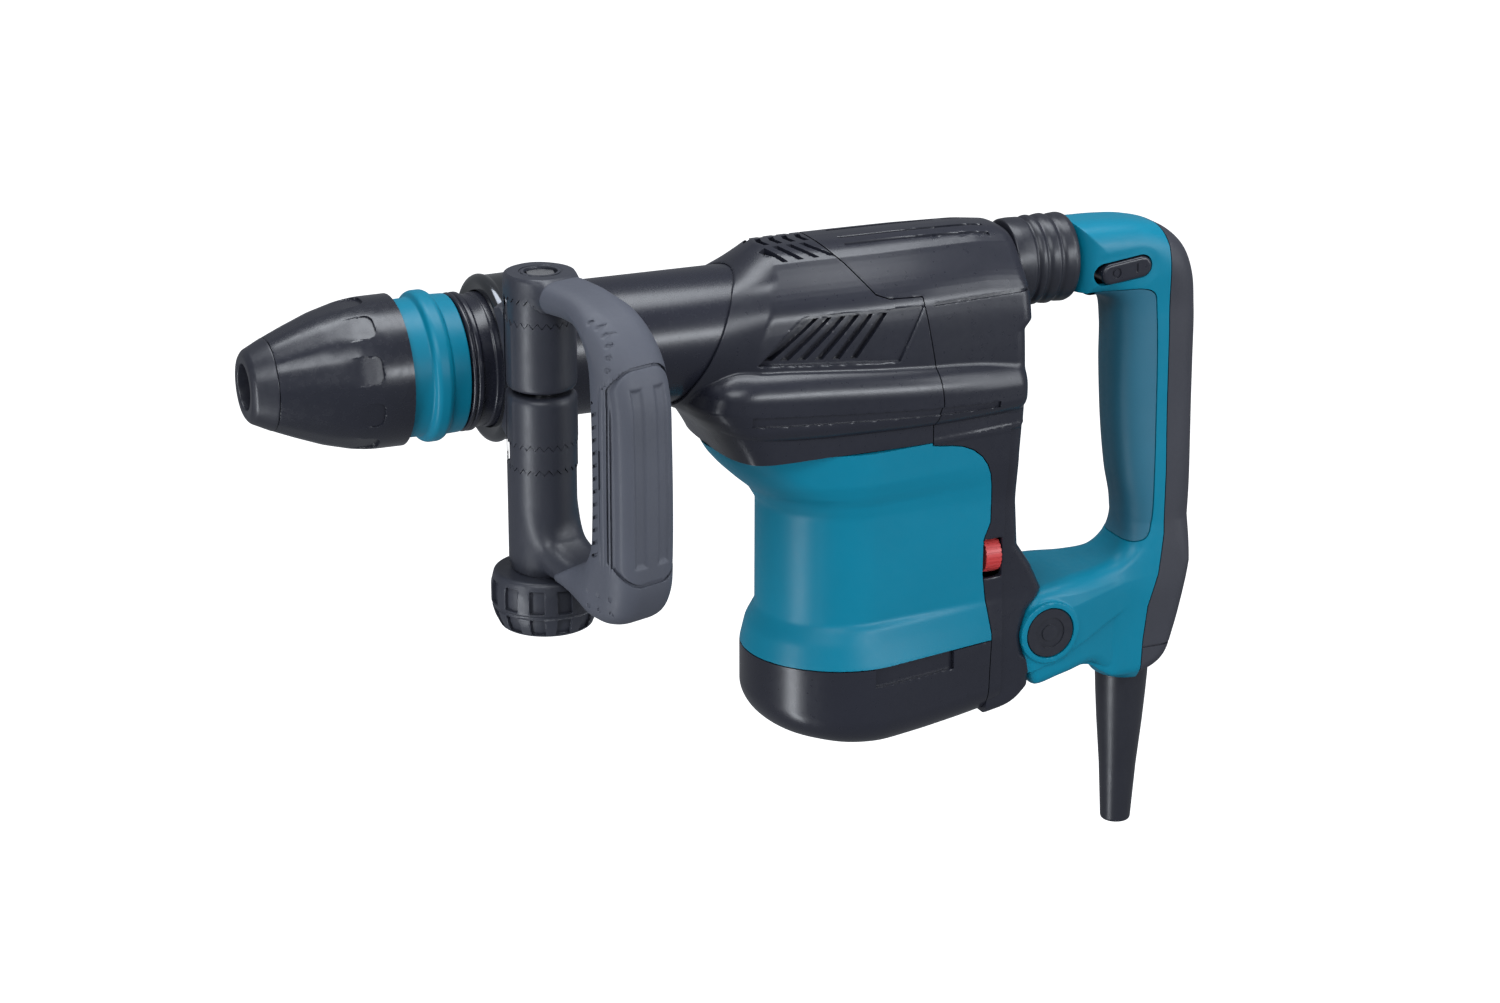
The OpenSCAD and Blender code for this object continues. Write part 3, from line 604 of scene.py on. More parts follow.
def side_grip_pieces():
    x, y = POST
    around = (x - 17, y - 17), (x + 17, y + 28)

    def at(z0, z1):
        return (*around[0], z0), (*around[1], z1)

    upper = moulded("grip_upper_jaw_look", jaw_field(0.8, 31.2, True), *at(-1, 34), 0.55)
    lower = moulded("grip_lower_jaw_look", jaw_field(-22.6, -1.2, False), *at(-25, 0), 0.55)
    rings = []
    for name, low, high in (("upper", 31.5, 41.2), ("lower", -33.4, -22.9)):
        rings.append(moulded(f"index_ring_{name}", ring_field(low, high), *at(low - 2, high + 2), 0.5))
    reach = (x - 22, y - 86, -92), (x + 46, y + 18, 56)
    plastic = moulded("grip_frame_look", grip_frame_field, *reach, 0.62)
    rubber = moulded("grip_sleeve_look", sleeve_field, *reach, 0.7)
    knob = moulded("grip_knob_look", knob_field, (x - 25, y - 25, -108), (x + 25, y + 25, -79), 0.6)
    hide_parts("grip_index_rings")
    return {
        "grip_clamp": [(upper, "grip_upper_jaw", "grip_plastic"), (lower, "grip_lower_jaw", "grip_plastic")],
        "side_grip": [
            (rings[0], None, "grip_plastic"),
            (rings[1], None, "grip_plastic"),
            (plastic, "grip_frame", "grip_plastic"),
            (rubber, "grip_sleeve", "grip_rubber"),
        ],
        "clamp_knob": [(knob, "grip_knob", "grip_plastic")],
    }


# ---------- housings ----------

SECTION = Outline(
    [
        (-30, 39.2), (-30, 39.2), (-12, 39.2), (0, 39.2), (10, 38.5), (16, 36.5), (20.5, 33.6),
        (20.5, 33.6), (36.4, 16.4), (38.8, 8), (39.8, -8), (40, -30), (40, -60), (40, -60), (-30, -60),
        (-30, -60),
    ]
)
TAPER = eased([
    (180, 0.89), (215, 0.935), (250, 0.985), (275, 1.0), (300, 0.98), (335, 0.88), (370, 0.80),
], 14)
ROOF = eased([(180, 0.8), (225, 0.5), (245, 0), (305, 0), (335, 0.5), (352, 2.4), (380, 9)], 6)
REAR_EDGE = eased(
    [
        (60, 352), (41, 353.5), (34, 356.5), (-3, 358.4), (-7, 354.8), (-36, 355.8), (-67, 354.4),
        (-92, 354.2), (-114, 356), (-126.5, 364.6), (-138.8, 370.8), (-143, 368.8), (-148, 362.5),
        (-160, 359.4), (-170, 361.5), (-177.4, 370), (-181, 364.4), (-187, 364), (-194, 356),
        (-200, 346),
    ],
    1.2,
)
MOTOR_HALF_AT = eased(
    [
        (-215, 45.4), (-158, 45.4), (-140.2, 40.0), (-138, 38.2), (-86, 38.2), (-80, 39.2), (-75, 41.4),
        (-69, 43.2), (-53, 43.8),
    ],
    2.2,
)
NOSE_AT = eased(
    [
        (-215, 228.8), (-158, 228.6), (-147, 231), (-139, 235.6), (-86, 235.6), (-78, 230.8),
        (-71, 222.6), (-64, 215.2), (-58, 210), (-52, 206.5),
    ],
    3.0,
)
REAR_HALF_AT = eased([
    (-215, 33.4), (-158, 33.4), (-139, 32.6), (-88, 33.4), (-72, 35.4), (-53, 36.2),
], 5)
FLOOR_AT = eased(
    [
        (200, -186.8), (225, -190.8), (242, -195.3), (263, -198), (284, -199.5), (305, -199),
        (326, -197.8), (345, -196.2), (375, -193),
    ],
    8,
)
REAR_REGION = Outline(
    [
        (250, 70), (250, 47), (266, 31), (276, 18.6), (282, 16.3), (298.6, 15.6), (299.4, 11),
        (304.5, -15), (306.5, -34), (303.2, -43), (303.4, -54.4), (308, -55.4), (314, -56.2),
        (320, -57.6), (326, -60.3), (331, -64.4), (334.2, -68.8), (336.4, -74), (337.6, -80),
        (338.2, -87), (338.2, -99), (334.8, -107), (334.8, -124), (336.4, -136.5), (340, -155),
        (339.4, -168), (337.2, -240), (440, -240), (440, 70),
    ],
    smooth=False,
)
COLLAR_LIP = eased(
    [
        (-60, 174), (-29, 188), (-17.5, 191.8), (-6, 198), (13, 207.6), (24, 213.6), (29.5, 219),
        (45, 230),
    ], 3
)
COLLAR_RISE = eased(
    [
        (-40, 1.3), (0, 1.3), (18, 0.9), (43, 0.40), (66, 0.44), (80, 0.36), (92, 0.32), (110, 0.32),
        (140, 0.4), (220, 0.4),
    ],
    6,
)
BULGE_FRONT = eased(
    [
        (30, 216), (10, 206), (-6, 198), (-17.5, 191.8), (-27, 189.2), (-32, 192), (-40, 199.5),
        (-46, 204.5), (-53, 210.5), (-62, 216),
    ],
    2,
)
BULGE_PLAN = Outline(
    [
        (187, -40), (187, -40), (187, 0), (187.3, 14), (188.6, 24), (191.4, 32), (197, 39.2),
        (206, 43.4), (222, 45.2), (245, 46.0), (272, 46.4), (300, 45.6), (325, 42.6), (345, 38.6),
        (380, 31), (380, 31), (380, -40), (380, -40),
    ]
)
GRILLE = Outline(
    [
        (243, 12.9), (298.8, 11.6), (286.4, -12.6), (217.6, -7.4), (228, 3), (236.5, 10), (239.5, 12.2),
    ], smooth=False
)


def bulge(x, y, z):
    """Rounded ridge along the side of the crank housing, and the skirt below it."""
    front = np.clip((250 - x) / 50, 0, 1)
    plan = BULGE_PLAN(x - (BULGE_FRONT(z) - 187) * front, np.abs(y)) * (1 - 0.2 * front)
    top = z + 7 + 0.078 * (x - 195)
    bottom = -43.5 - 0.018 * (x - 205) - z
    ridge = rounded(rounded(plan, top, 14), bottom, 8)
    skirt = np.maximum(plan + 4.6 * (1 - front), z + 30)
    return np.maximum(np.minimum(ridge, skirt), SPLIT_Z - 0.4 - z)


def collar(x, y, z):
    """Cone that flares back from a lip on the barrel to the housing's sides."""
    rho = np.hypot(y, z)
    angle = np.degrees(np.arctan2(np.abs(y), z))
    return (rho - 31.2 - COLLAR_RISE(angle) * (x - COLLAR_LIP(z))) * 0.62


def upper_solid(x, y, z):
    """Outside of the black crank and hammer housing."""
    section = SECTION(np.abs(y) / TAPER(x), z + ROOF(x)) * 0.94
    body = smooth_max(section, collar(x, y, z), 0.5)
    body = np.maximum(np.maximum(body, COLLAR_LIP(z) - 0.8 - x), SPLIT_Z - 0.4 - z)
    return smooth_min(body, bulge(x, y, z), 1.2)


def lower_solid(x, y, z):
    """Outside of the motor housing and its bottom cover."""
    middle = MOTOR_HALF_AT(z)
    nose = NOSE_AT(z)
    nose_r = np.minimum(middle - 1.5, np.clip(middle - 0.42 * (MOTOR_X - middle - nose), 24, 60))
    rear = REAR_HALF_AT(z)
    centre = smooth_max(nose + middle + 1, MOTOR_X, 2)
    plan = tapered(x, y, (nose + nose_r, nose_r), (centre, middle), (347, rear - 1.5))
    forward = np.clip((MOTOR_X - x) / middle, 0, 1) ** 2
    side_slope = MOTOR_HALF_AT(z + 0.5) - MOTOR_HALF_AT(z - 0.5)
    nose_slope = NOSE_AT(z + 0.5) - NOSE_AT(z - 0.5)
    plan = plan / np.sqrt(1 + (side_slope + (nose_slope - side_slope) * forward) ** 2)
    return rounded(plan, FLOOR_AT(x) - z, 15)


def rear_edge(x, z):
    return (x - REAR_EDGE(z)) * 0.9


def upper_form(x, y, z):
    """Outside of the crank housing with the recess of its side grille."""
    whole = upper_solid(x, y, z)
    depth = 2.6 - 0.05 * np.maximum(x - 266, 0)
    recess = np.maximum(np.maximum(GRILLE(x, z), 25 - np.abs(y)), -whole - depth)
    return cut(whole, recess, 0.6)


def grille_slots(x, side, z):
    """Leaning slots between the bars of the side grille."""
    slots = 9.0
    for k in range(6):
        lean = 1.33 - 0.112 * k
        bar = np.abs(x - 223.8 - 8.7 * k - lean * (z + 5.2)) / math.hypot(1, lean) - 1.5
        slots = np.minimum(slots, bar)
    return np.maximum(slots, np.maximum(GRILLE(x, z) + 1.8, 25 - side))


def louvres(x, side, z):
    """Two rows of curved slots across the front of the roof."""
    along = np.clip((side - 7.5) / 12, 0, 1.5)
    slots = 9.0
    for k in range(4):
        outer = np.abs(x - 231.5 - 6.5 * k - (7.5 + 1.3 * k) * along**1.7) * 0.85 - 1.25
        inner = np.abs(x - 234 - 6.5 * k - 0.25 * side) - 1.35
        slots = np.minimum(slots, np.maximum(outer, np.abs(side - 13.7) - 5.4))
        slots = np.minimum(slots, np.maximum(inner, side - 5.6))
    return np.maximum(slots, 24 - z)


def upper_details(solid, whole, x, y, z):
    """Grille slots, louvres, channel and long grooves in the crank housing."""
    side = np.abs(y)
    solid = cut(solid, np.maximum(grille_slots(x, side, z), -whole - 2.8))
    solid = cut(solid, louvres(x, side, z))
    channel = np.abs(z + 31 + 0.063 * (x - 212)) - 2.3 + 0.006 * (x - 212)
    channel = np.maximum(channel, np.maximum(np.maximum(212 - x, x - 338), 20 - side))
    solid = cut(solid, np.maximum(channel, -whole - 1.1), 0.3)
    for offset in (6.5, 13.8):
        groove = np.maximum(np.abs(side - offset) - 1.1, np.maximum(np.maximum(270 - x, x - 343), 25 - z))
        solid = cut(solid, np.maximum(groove, -whole - 1.0), 0.3)
    return solid


def front_housing_field(x, y, z):
    whole = upper_form(x, y, z)
    wall = WALL + 1.6 * np.clip(1 - GRILLE(x, z) / 2, 0, 1)
    solid = upper_details(shell(whole, wall), whole, x, y, z)
    solid = np.maximum(solid, GAP - REAR_REGION(x, z))
    solid = np.maximum(solid, SPLIT_Z + GAP - z)
    barrel = np.maximum(np.hypot(y, z) - BARREL_R - GAP, x - 236)
    return cut(solid, barrel)


def back_piece(x, y, z):
    """Upright black back of the motor housing, with its foot."""
    plan = np.abs(y) - REAR_HALF_AT(z) + 1.5 + 0.16 * np.maximum(x - 340, 0)
    column = smooth_max(plan, rear_edge(x, z), 5)
    return smooth_max(column, FLOOR_AT(x) - z, 5)


def rear_housing_field(x, y, z):
    top = smooth_max(upper_form(x, y, z), rear_edge(x, z), 6)
    low = np.minimum(back_piece(x, y, z), np.maximum(lower_solid(x, y, z), x - 346))
    whole = smooth_min(top, np.maximum(low, z - SPLIT_Z - 1), 1.5)
    solid = upper_details(shell(whole), whole, x, y, z)
    solid = np.maximum(solid, REAR_REGION(x, z) + GAP)
    seam = np.maximum(np.abs(z - 11.5) - 0.75, np.maximum(304 - x, 10 - np.abs(y)))
    solid = cut(solid, np.maximum(seam, -whole - 1.1), 0.25)
    rho = np.hypot(x - PIVOT[0], z - PIVOT[1])
    ear = capped_rod(y, rho, -19, 19, 13, 1.0)
    lug = box(x, y, z, (350, -17, PIVOT[1] - 11), (PIVOT[0], 17, PIVOT[1] + 11), 2)
    solid = np.minimum(solid, np.minimum(ear, lug))
    solid = cut(solid, np.maximum(rho - 15.8, np.abs(np.abs(y) - 29) - 9.2))
    dial = box(x, y, z, (335.5, -45, -127), (345.2, -14, -107.5), 1.0)
    solid = cut(solid, dial, 0.8)
    neck = box(x, y, z, (340, -14.5, 2), (370, 14.5, 31), 9)
    return cut(solid, neck, 0.5)


def motor_housing_field(x, y, z):
    solid = shell(lower_solid(x, y, z))
    solid = np.maximum(solid, np.maximum(z - SPLIT_Z + GAP, CAP_Z + GAP - z))
    return np.maximum(solid, GAP - REAR_REGION(x, z))


def bottom_cover_field(x, y, z):
    whole = lower_solid(x, y, z)
    pocket = np.maximum(np.abs(x - 296) - 22, np.maximum(-167.2 - z, 20 - np.abs(y)))
    solid = shell(cut(whole, np.maximum(pocket, -whole - 2.0), 0.6))
    solid = np.maximum(solid, z - CAP_Z + GAP)
    return np.maximum(solid, GAP - REAR_REGION(x, z))


def housing_pieces():
    front = moulded("front_housing_look", front_housing_field, (182, -49, -56), (310, 49, 43), 0.62)
    rear = moulded("rear_housing_look", rear_housing_field, (246, -49, -204), (390, 49, 43), 0.66)
    motor = moulded("motor_housing_look", motor_housing_field, (200, -49, -160), (342, 49, -50), 0.9)
    cover = moulded("bottom_cover_look", bottom_cover_field, (222, -49, -204), (342, 49, -155), 0.9)
    return {
        "machine": [
            (front, "front_housing", "black_plastic"),
            (rear, "rear_housing", "black_plastic"),
            (motor, "motor_housing", "teal_plastic"),
            (cover, "bottom_cover", "black_plastic"),
        ]
    }


# ---------- rear handle ----------

HANDLE = Outline(
    [
        (390, 33.6), (390, 33.6), (410, 33.2), (424, 31.8), (438, 27.6), (448.6, 18.6), (454.6, 5),
        (457.4, -12), (458.4, -40), (459.2, -75), (459.4, -110), (457.4, -138), (454, -156),
        (449.6, -174), (445, -187), (439, -192.5), (428, -196), (415, -195), (408, -190.5), (400, -185),
        (384, -186.4), (368, -189.6), (364, -186.4), (359.5, -172), (359, -160.5), (361, -149),
        (368, -141), (377, -139), (388, -137.6), (404, -137.2), (417.4, -134.4), (423.6, -126),
        (423.6, -112), (420, -95), (416.4, -68), (414.6, -40), (414.2, -20), (412, -7.8), (406, -3.6),
        (390, -3.8), (390, -3.8),
    ]
)
COVER_LINE = Outline(
    [
        (424, 70), (430, 42), (434.6, 30), (437, 20), (439.2, -23), (441, -92), (440.8, -124),
        (438, -143.8), (432.7, -160), (430.7, -177), (430, -196), (429.5, -260), (500, -260), (500, 70),
    ],
    smooth=False,
)
PAD = Outline(
    [
        (380, 0.4), (380, 0.4), (405, 0.8), (425, 0.4), (430, -2.5), (431.6, -10), (433.6, -40),
        (434.6, -90), (434, -118), (431.6, -125), (426, -127.4), (416, -126.4), (408, -122),
        (400, -112), (380, -104), (380, -104),
    ],
)
HANDLE_HALF_AT = eased(
    [
        (-220, 19.5), (-150, 19.5), (-132, 18.6), (-118, 17.4), (-60, 16.6), (-10, 17.4), (8, 19.4),
        (40, 19),
    ], 8
)


def handle_solid(x, y, z):
    """Outside of the whole rear handle."""
    fork = np.clip((425 - x) / 45, 0, 1) * np.clip((-118 - z) / 26, 0, 1)
    half = HANDLE_HALF_AT(z) + 10.2 * fork * fork * (3 - 2 * fork)
    above = np.clip(z + 150 - 0.115 * (x - 384), 0, 16)
    half = half - 0.17 * above * np.clip((436 - x) / 20, 0, 1) * np.clip((-116 - z) / 14, 0, 1)
    round_over = 15 - 9 * np.clip((-118 - z) / 22, 0, 1)
    return smooth_max(HANDLE(x, z), (np.abs(y) - half) * 0.97, round_over)


def switch_slot(x, z, shift=0.0, reach=9.6, radius=5.6):
    """Slanted pill outline of the switch's slot."""
    c, s = math.cos(math.radians(7)), math.sin(math.radians(7))
    dx, dz = x - 412 - shift, z - 11.1
    u, v = dx * c + dz * s, -dx * s + dz * c
    return np.hypot(np.maximum(np.abs(u) - reach, 0), v) - radius


def handle_screw_rods(x, y, z, radius, low, high, edge=0.0):
    """Rods at the places of the handle's screws, along y."""
    rods = [capped_rod(y, np.hypot(x - a, z - b), low, high, radius, edge) for a, b in HANDLE_SCREWS]
    return np.minimum(np.minimum(rods[0], rods[1]), rods[2])


def handle_screws_field(x, y, z):
    """Pan-head screws sunk into the far side of the handle, each with a crossed slot."""
    heads = handle_screw_rods(x, y, z, 3.5, 10.6, 12.8, 0.6)
    cross = np.full(np.shape(x), 9.0)
    for a, b in HANDLE_SCREWS:
        dx, dz = np.abs(x - a), np.abs(z - b)
        across = np.minimum(np.maximum(dx - 0.45, dz - 2.2), np.maximum(dz - 0.45, dx - 2.2))
        cross = np.minimum(cross, across)
    heads = cut(heads, np.maximum(cross, 11.9 - y))
    return np.minimum(heads, handle_screw_rods(x, y, z, 1.9, -4, 11, 0.3))


def guard_hole(x, y, z):
    return np.maximum(np.hypot(x - GUARD_X, y) - 13.3, z + 185)


def handle_body_field(x, y, z):
    side = np.abs(y)
    whole = handle_solid(x, y, z)
    rho = np.hypot(x - PIVOT[0], z - PIVOT[1])
    solid = smooth_min(shell(whole), capped_rod(side, rho, 24, 31.0, 15.4, 0.8), 1.0)
    bosses = np.maximum(handle_screw_rods(x, y, z, 6.2, 2, 30), whole + 0.6)
    solid = cut(np.minimum(solid, bosses), handle_screw_rods(x, y, z, 4.1, 10.4, 30), 0.5)
    solid = cut(solid, handle_screw_rods(x, y, z, 2.2, -6, 12))
    solid = cut(solid, np.maximum(rho - 12.7, 28.5 - side), 0.3)
    solid = cut(solid, rho - 8.1)
    solid = cut(solid, np.maximum(np.maximum(x - 391, z + 141), side - 20.5))
    facet = np.maximum((z + 172.5 - 0.36 * (x - 385)) * 0.94, -whole - 1.2)
    solid = cut(solid, np.maximum(facet, np.maximum(17 - rho, 20 - side)), 0.6)
    scoop = smooth_max(switch_slot(x, z) - 3.6, 19.6 - side, 3.5)
    solid = cut(solid, np.maximum(scoop, -whole - 2.2), 2.0)
    solid = cut(solid, switch_slot(x, z))
    solid = cut(solid, np.maximum(x - 390.3, -60 - z))
    solid = cut(solid, np.maximum(np.hypot(y, z - BELLOWS_Z) - 13, x - 396))
    cup = capped_rod(z, np.hypot(x - GUARD_X, y), -198.5, -188, 16.4, 3)
    solid = cut(smooth_min(solid, cup, 3), guard_hole(x, y, z))
    solid = np.maximum(solid, GAP - PAD(x, z))
    return np.maximum(solid, GAP - COVER_LINE(x, z))


def handle_pad_field(x, y, z):
    pad = np.maximum(shell(handle_solid(x, y, z) + 0.15), PAD(x, z) + GAP)
    return cut(pad, handle_screw_rods(x, y, z, 4.1, 6, 30), 0.4)


def handle_cover_field(x, y, z):
    whole = handle_solid(x, y, z)
    solid = np.maximum(shell(whole), COVER_LINE(x, z) + GAP)
    line = np.maximum(np.abs(z + 181) - 0.5, -whole - 0.9)
    return cut(cut(solid, line, 0.25), guard_hole(x, y, z))


def slider_field(x, y, z):
    """Slide switch: a bar through the handle with a pill-shaped pad at each side."""
    side = np.abs(y)
    solid = smooth_max(switch_slot(x, z, 1.3, 8.2, 5.0), side - 20.2, 1.6)
    mark = np.maximum(np.maximum(np.abs(x - 418.5) - 0.5, np.abs(z - 11.9) - 2.2), 19.7 - side)
    ring = np.maximum(np.abs(np.hypot(x - 407.5, z - 10.6) - 2.0) - 0.5, 19.7 - side)
    return cut(solid, np.minimum(mark, ring))


def bellows_piece():
    outline = [
        (357, 15.8), (357, 20.6), (361, 20.9), (366.6, 20.7), (367.8, 19.4), (369.4, 21.0),
        (371.6, 21.3), (373.2, 19.6), (375.2, 21.0), (378.8, 21.4), (380.6, 19.6), (382.6, 20.8),
        (387, 21.1), (389.6, 20.0), (389.6, 15.8),
    ]
    look = turned("handle_bellows_look", outline, 1.0, centre=(0, 0, BELLOWS_Z), squeeze=0.9)
    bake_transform(look)
    return look


def handle_pieces():
    reach = (356, -34, -201), (466, 34, 38)
    body = moulded("handle_body_look", handle_body_field, *reach, 0.75)
    pad = moulded("handle_pad_look", handle_pad_field, (400, -24, -132), (440, 24, 4), 0.75)
    cover = moulded("handle_cover_look", handle_cover_field, (422, -24, -200), (466, 24, 38), 0.75)
    slider = moulded("switch_slider_look", slider_field, (395, -22, 2), (430, 22, 20), 0.55)
    screws = moulded("handle_screws_look", handle_screws_field, (405, -6, -116), (437, 16, 31), 0.5)
    guard = turned(
        "cord_guard_look",
        [
            (-279.6, 4.6), (-279.6, 7.0), (-278.6, 7.5), (-250, 9.2), (-226, 11.3), (-212, 12.3),
            (-200, 13.0), (-187.5, 13.0), (-187.5, 4.6),
        ],
        0.9, axis="z", centre=(GUARD_X, 0, 0), sides=96,
    )
    return {
        "rear_handle": [
            (body, "handle_body", "teal_plastic"),
            (pad, None, "pad_teal"),
            (cover, "handle_cover", "handle_rubber"),
            (guard, "cord_guard", "black_rubber"),
            (screws, "handle_screws", "dark_steel"),
        ],
        "slide_switch": [(slider, "switch_slider", "black_plastic")],
    }


# ---------- materials ----------

PATCH_SCALE = 35.0
GRAIN_HEIGHT = 0.0002


def noise(nodes, links, source, scale, detail):
    """Noise at the place given by source."""
    node = nodes.new("ShaderNodeTexNoise")
    node.inputs["Scale"].default_value = scale
    node.inputs["Detail"].default_value = detail
    links.new(source, node.inputs["Vector"])
    return node.outputs["Fac"]


def ranged(nodes, links, value, low, high):
    """Noise spread over the range from low to high."""
    node = nodes.new("ShaderNodeMapRange")
    node.inputs["From Min"].default_value = 0.3
    node.inputs["From Max"].default_value = 0.7
    node.inputs["To Min"].default_value = low
    node.inputs["To Max"].default_value = high
    links.new(value, node.inputs["Value"])
    return node.outputs["Result"]


def texture_place(nodes, links, stretch):
    """Texture place in the object's own frame, stretched along its axes if asked."""
    source = nodes.new("ShaderNodeTexCoord").outputs["Object"]
    if stretch is None:
        return source
    mapping = nodes.new("ShaderNodeMapping")
    mapping.inputs["Scale"].default_value = stretch
    links.new(source, mapping.inputs["Vector"])
    return mapping.outputs["Vector"]


def material(
    name, colour, rough, metal=0.0, grain=900.0, bump=0.08, mottle=0.06, spread=0.08, shine=0.5, stretch=None
):
    """A procedural finish: mottled colour, uneven roughness and a fine grain in the surface."""
    made = bpy.data.materials.new(name)
    made.use_nodes = True
    nodes, links = made.node_tree.nodes, made.node_tree.links
    shader = nodes["Principled BSDF"]
    source = texture_place(nodes, links, stretch)

    mix = nodes.new("ShaderNodeMix")
    mix.data_type = "RGBA"
    mix.inputs["A"].default_value = (*[c * (1 - mottle) for c in colour], 1)
    mix.inputs["B"].default_value = (*[min(1, c * (1 + mottle)) for c in colour], 1)
    patches = noise(nodes, links, source, PATCH_SCALE, 4)
    links.new(ranged(nodes, links, patches, 0, 1), mix.inputs["Factor"])
    links.new(mix.outputs["Result"], shader.inputs["Base Color"])

    uneven = noise(nodes, links, source, grain * 0.35, 3)
    roughness = ranged(nodes, links, uneven, rough - spread / 2, rough + spread / 2)
    links.new(roughness, shader.inputs["Roughness"])

    height = nodes.new("ShaderNodeBump")
    height.inputs["Strength"].default_value = bump
    height.inputs["Distance"].default_value = GRAIN_HEIGHT
    links.new(noise(nodes, links, source, grain, 2), height.inputs["Height"])
    links.new(height.outputs["Normal"], shader.inputs["Normal"])
    shader.inputs["Metallic"].default_value = metal
    shader.inputs["Specular IOR Level"].default_value = shine
    return made


FINISHES = {
    "black_rubber": material("black_rubber", (0.017, 0.018, 0.025), 0.36, bump=0.05),
    "gloss_black": material("gloss_black", (0.014, 0.015, 0.022), 0.26, bump=0.015),
    "black_plastic": material("black_plastic", (0.015, 0.016, 0.024), 0.29, bump=0.015, spread=0.04),
    "black_paint": material("black_paint", (0.013, 0.014, 0.022), 0.27, bump=0.004, spread=0.02, mottle=0.03),
    "teal_plastic": material("teal_plastic", (0.001, 0.172, 0.268), 0.40, shine=0.26, bump=0.06, mottle=0.03),
    "pad_teal": material("pad_teal", (0.018, 0.120, 0.185), 0.50, bump=0.12, mottle=0.04),
    "handle_rubber": material("handle_rubber", (0.028, 0.029, 0.039), 0.56, bump=0.12),
    "grip_plastic": material("grip_plastic", (0.026, 0.028, 0.038), 0.42, bump=0.08),
    "grip_rubber": material("grip_rubber", (0.060, 0.065, 0.084), 0.60, bump=0.16, grain=1200),
    "red_plastic": material("red_plastic", (0.50, 0.045, 0.045), 0.42, bump=0.05),
    "steel": material("steel", (0.56, 0.56, 0.58), 0.28, metal=1.0, bump=0.05, stretch=(1, 6, 6)),
    "dark_steel": material("dark_steel", (0.10, 0.105, 0.115), 0.16, metal=0.9, bump=0.03),
    "spring_steel": material("spring_steel", (0.42, 0.42, 0.44), 0.32, metal=1.0),
    "alloy": material("alloy", (0.60, 0.61, 0.63), 0.46, metal=1.0, bump=0.2, grain=700),
    "copper": material("copper", (0.62, 0.27, 0.12), 0.34, metal=1.0, bump=0.15, stretch=(6, 6, 1)),
    "brass": material("brass", (0.62, 0.44, 0.17), 0.32, metal=1.0),
    "carbon": material("carbon", (0.03, 0.03, 0.032), 0.7, bump=0.3),
}

CAD_FINISH = {
    "steel": [
        "tool_holder", "locking_rollers", "guide_washer", "spring_seat", "impact_bolt", "cylinder", "striker",
        "piston_pin", "crankshaft", "crank_pin", "crank_gear", "crank_bearings", "armature_shaft",
        "motor_bearings", "pivot_pin", "grip_bolt",
    ],
    "spring_steel": [
        "release_spring", "counterweight_spring_front", "counterweight_spring_rear", "handle_spring",
    ],
    "alloy": ["piston", "connecting_rod", "crank_housing", "gear_plate", "armature_core", "field_stator"],
    "dark_steel": ["counterweight", "housing_screws"],
    "copper": ["commutator"],
    "brass": ["brush_holders"],
    "carbon": ["carbon_brushes"],
    "black_rubber": ["striker_o_ring", "piston_o_ring", "pivot_caps"],
    "black_plastic": ["cooling_fan", "speed_controller", "switch_body"],
    "red_plastic": ["speed_dial"],
}


def finish_cad_nodes():
    for finish, names in CAD_FINISH.items():
        for name in names:
            node = frame["nodes"][name]
            node.data.materials.clear()
            node.data.materials.append(FINISHES[finish])


def place_pieces(groups):
    for body, pieces in groups.items():
        for obj, replaced, finish in pieces:
            obj.data.materials.append(FINISHES[finish])
            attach(obj, body)
            finish if finish in SLOTS else "teal_plastic"
            if replaced:
                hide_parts(replaced)


# ---------- studio ----------


LIGHT_COLOUR = (0.91, 0.95, 1)
LIT_POINT = (0.23, 0, -0.09)
# place and size in metres, power in watts
LIGHTS = {
    "key": ((-0.8, -1.3, 1.3), (1.3, 0.8), 20),
    "top": ((0.30, 0.15, 1.5), (1.8, 0.7), 28),
    "front": ((1.00, -1.70, 0.42), (1.3, 0.36), 18),
    "strip": ((-0.86, -0.33, -0.50), (0.26, 1.3), 11),
    "side": ((1.5, -0.9, 0.4), (0.4, 1.4), 8),
}
FLOOR_Z = -1.5
FLOOR_HALF = 30.0
# azimuth, elevation and roll in degrees
CAMERA_ANGLES = (-23.634, 19.349, 0.172)
CAMERA_PLACE = (-0.36139, -1.35140, 0.43554)


def area_light(name, place, size, power):
    """A rectangular light that faces the tool."""
    light = bpy.data.lights.new(name, "AREA")
    light.shape = "RECTANGLE"
    light.size, light.size_y = size
    light.energy = power
    light.color = LIGHT_COLOUR
    obj = bpy.data.objects.new(name, light)
    obj.location = place
    obj.visible_camera = False
    obj.rotation_euler = (Vector(LIT_POINT) - Vector(place)).to_track_quat("-Z", "Y").to_euler()
    bpy.context.scene.collection.objects.link(obj)


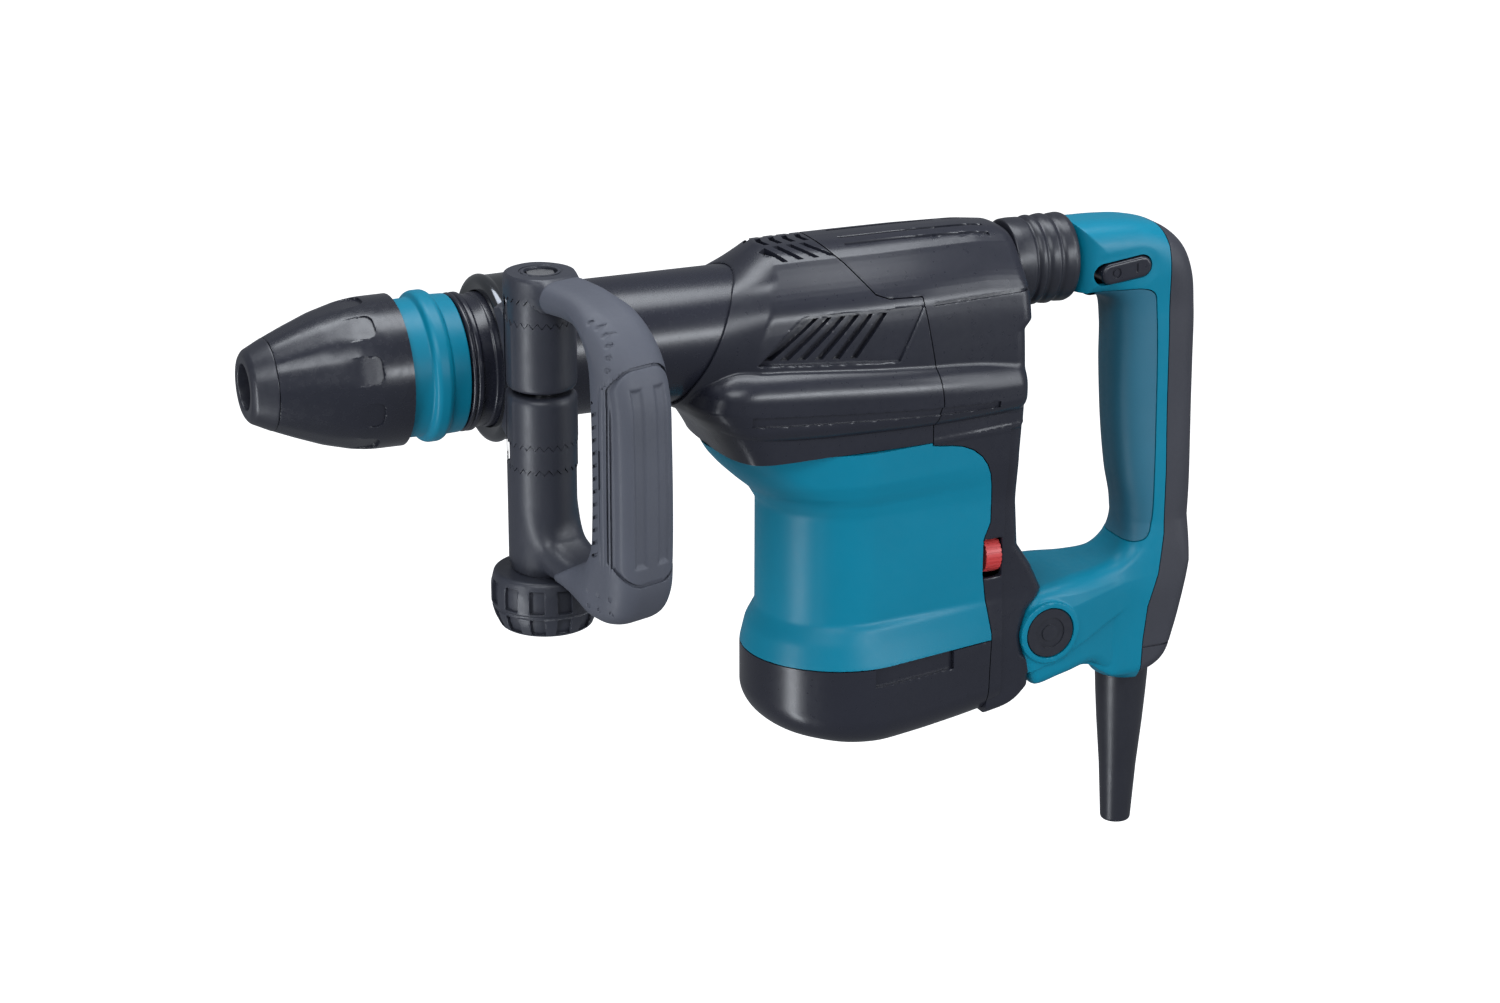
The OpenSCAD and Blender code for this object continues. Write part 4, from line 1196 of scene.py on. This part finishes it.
def white_floor():
    """A plain floor far below the tool, which neither lights it nor shows in its surfaces."""
    mesh = bpy.data.meshes.new("floor")
    z, half = FLOOR_Z, FLOOR_HALF
    corners = [(-half, -half, z), (half, -half, z), (half, half, z), (-half, half, z)]
    mesh.from_pydata(corners, [], [(0, 1, 2, 3)])
    floor = bpy.data.objects.new("floor", mesh)
    bpy.context.scene.collection.objects.link(floor)
    white = material("floor_white", (0.93, 0.93, 0.93), 0.8, mottle=0.004, bump=0.0)
    shader = white.node_tree.nodes["Principled BSDF"]
    shader.inputs["Emission Color"].default_value = (1, 1, 1, 1)
    shader.inputs["Emission Strength"].default_value = 1.0
    floor.data.materials.append(white)
    floor.visible_diffuse = False
    floor.visible_glossy = False


def studio():
    world = bpy.data.worlds.new("studio")
    world.use_nodes = True
    background = world.node_tree.nodes["Background"]
    background.inputs["Color"].default_value = (0.90, 0.94, 1, 1)
    background.inputs["Strength"].default_value = 0.24
    bpy.context.scene.world = world
    for name, (place, size, power) in LIGHTS.items():
        area_light(name, place, size, power)
    white_floor()


def camera():
    """A camera at the photograph's angle and distance."""
    azimuth, elevation, roll = (math.radians(v) for v in CAMERA_ANGLES)
    level = math.cos(elevation)
    back = Vector((math.sin(azimuth) * level, -math.cos(azimuth) * level, math.sin(elevation)))
    right = Vector((math.cos(azimuth), math.sin(azimuth), 0))
    up = back.cross(right)
    c, s = math.cos(roll), math.sin(roll)
    right, up = c * right + s * up, c * up - s * right
    data = bpy.data.cameras.new("camera")
    data.lens = 81.44
    data.sensor_width = 36
    data.shift_y = -0.00243
    data.clip_end = 100
    obj = bpy.data.objects.new("camera", data)
    matrix = Matrix((right, up, back)).transposed().to_4x4()
    matrix.translation = CAMERA_PLACE
    obj.matrix_world = matrix
    bpy.context.scene.collection.objects.link(obj)
    bpy.context.scene.camera = obj


SLOTS = {m["slot"] for m in frame["record"]["materials"]}

finish_cad_nodes()
place_pieces(nose_pieces())
place_pieces(side_grip_pieces())
place_pieces(housing_pieces())
place_pieces(handle_pieces())
bellows = bellows_piece()
bellows.data.materials.append(FINISHES["black_rubber"])
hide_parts("handle_bellows")
studio()
camera()
bpy.context.scene.view_settings.view_transform = "Standard"
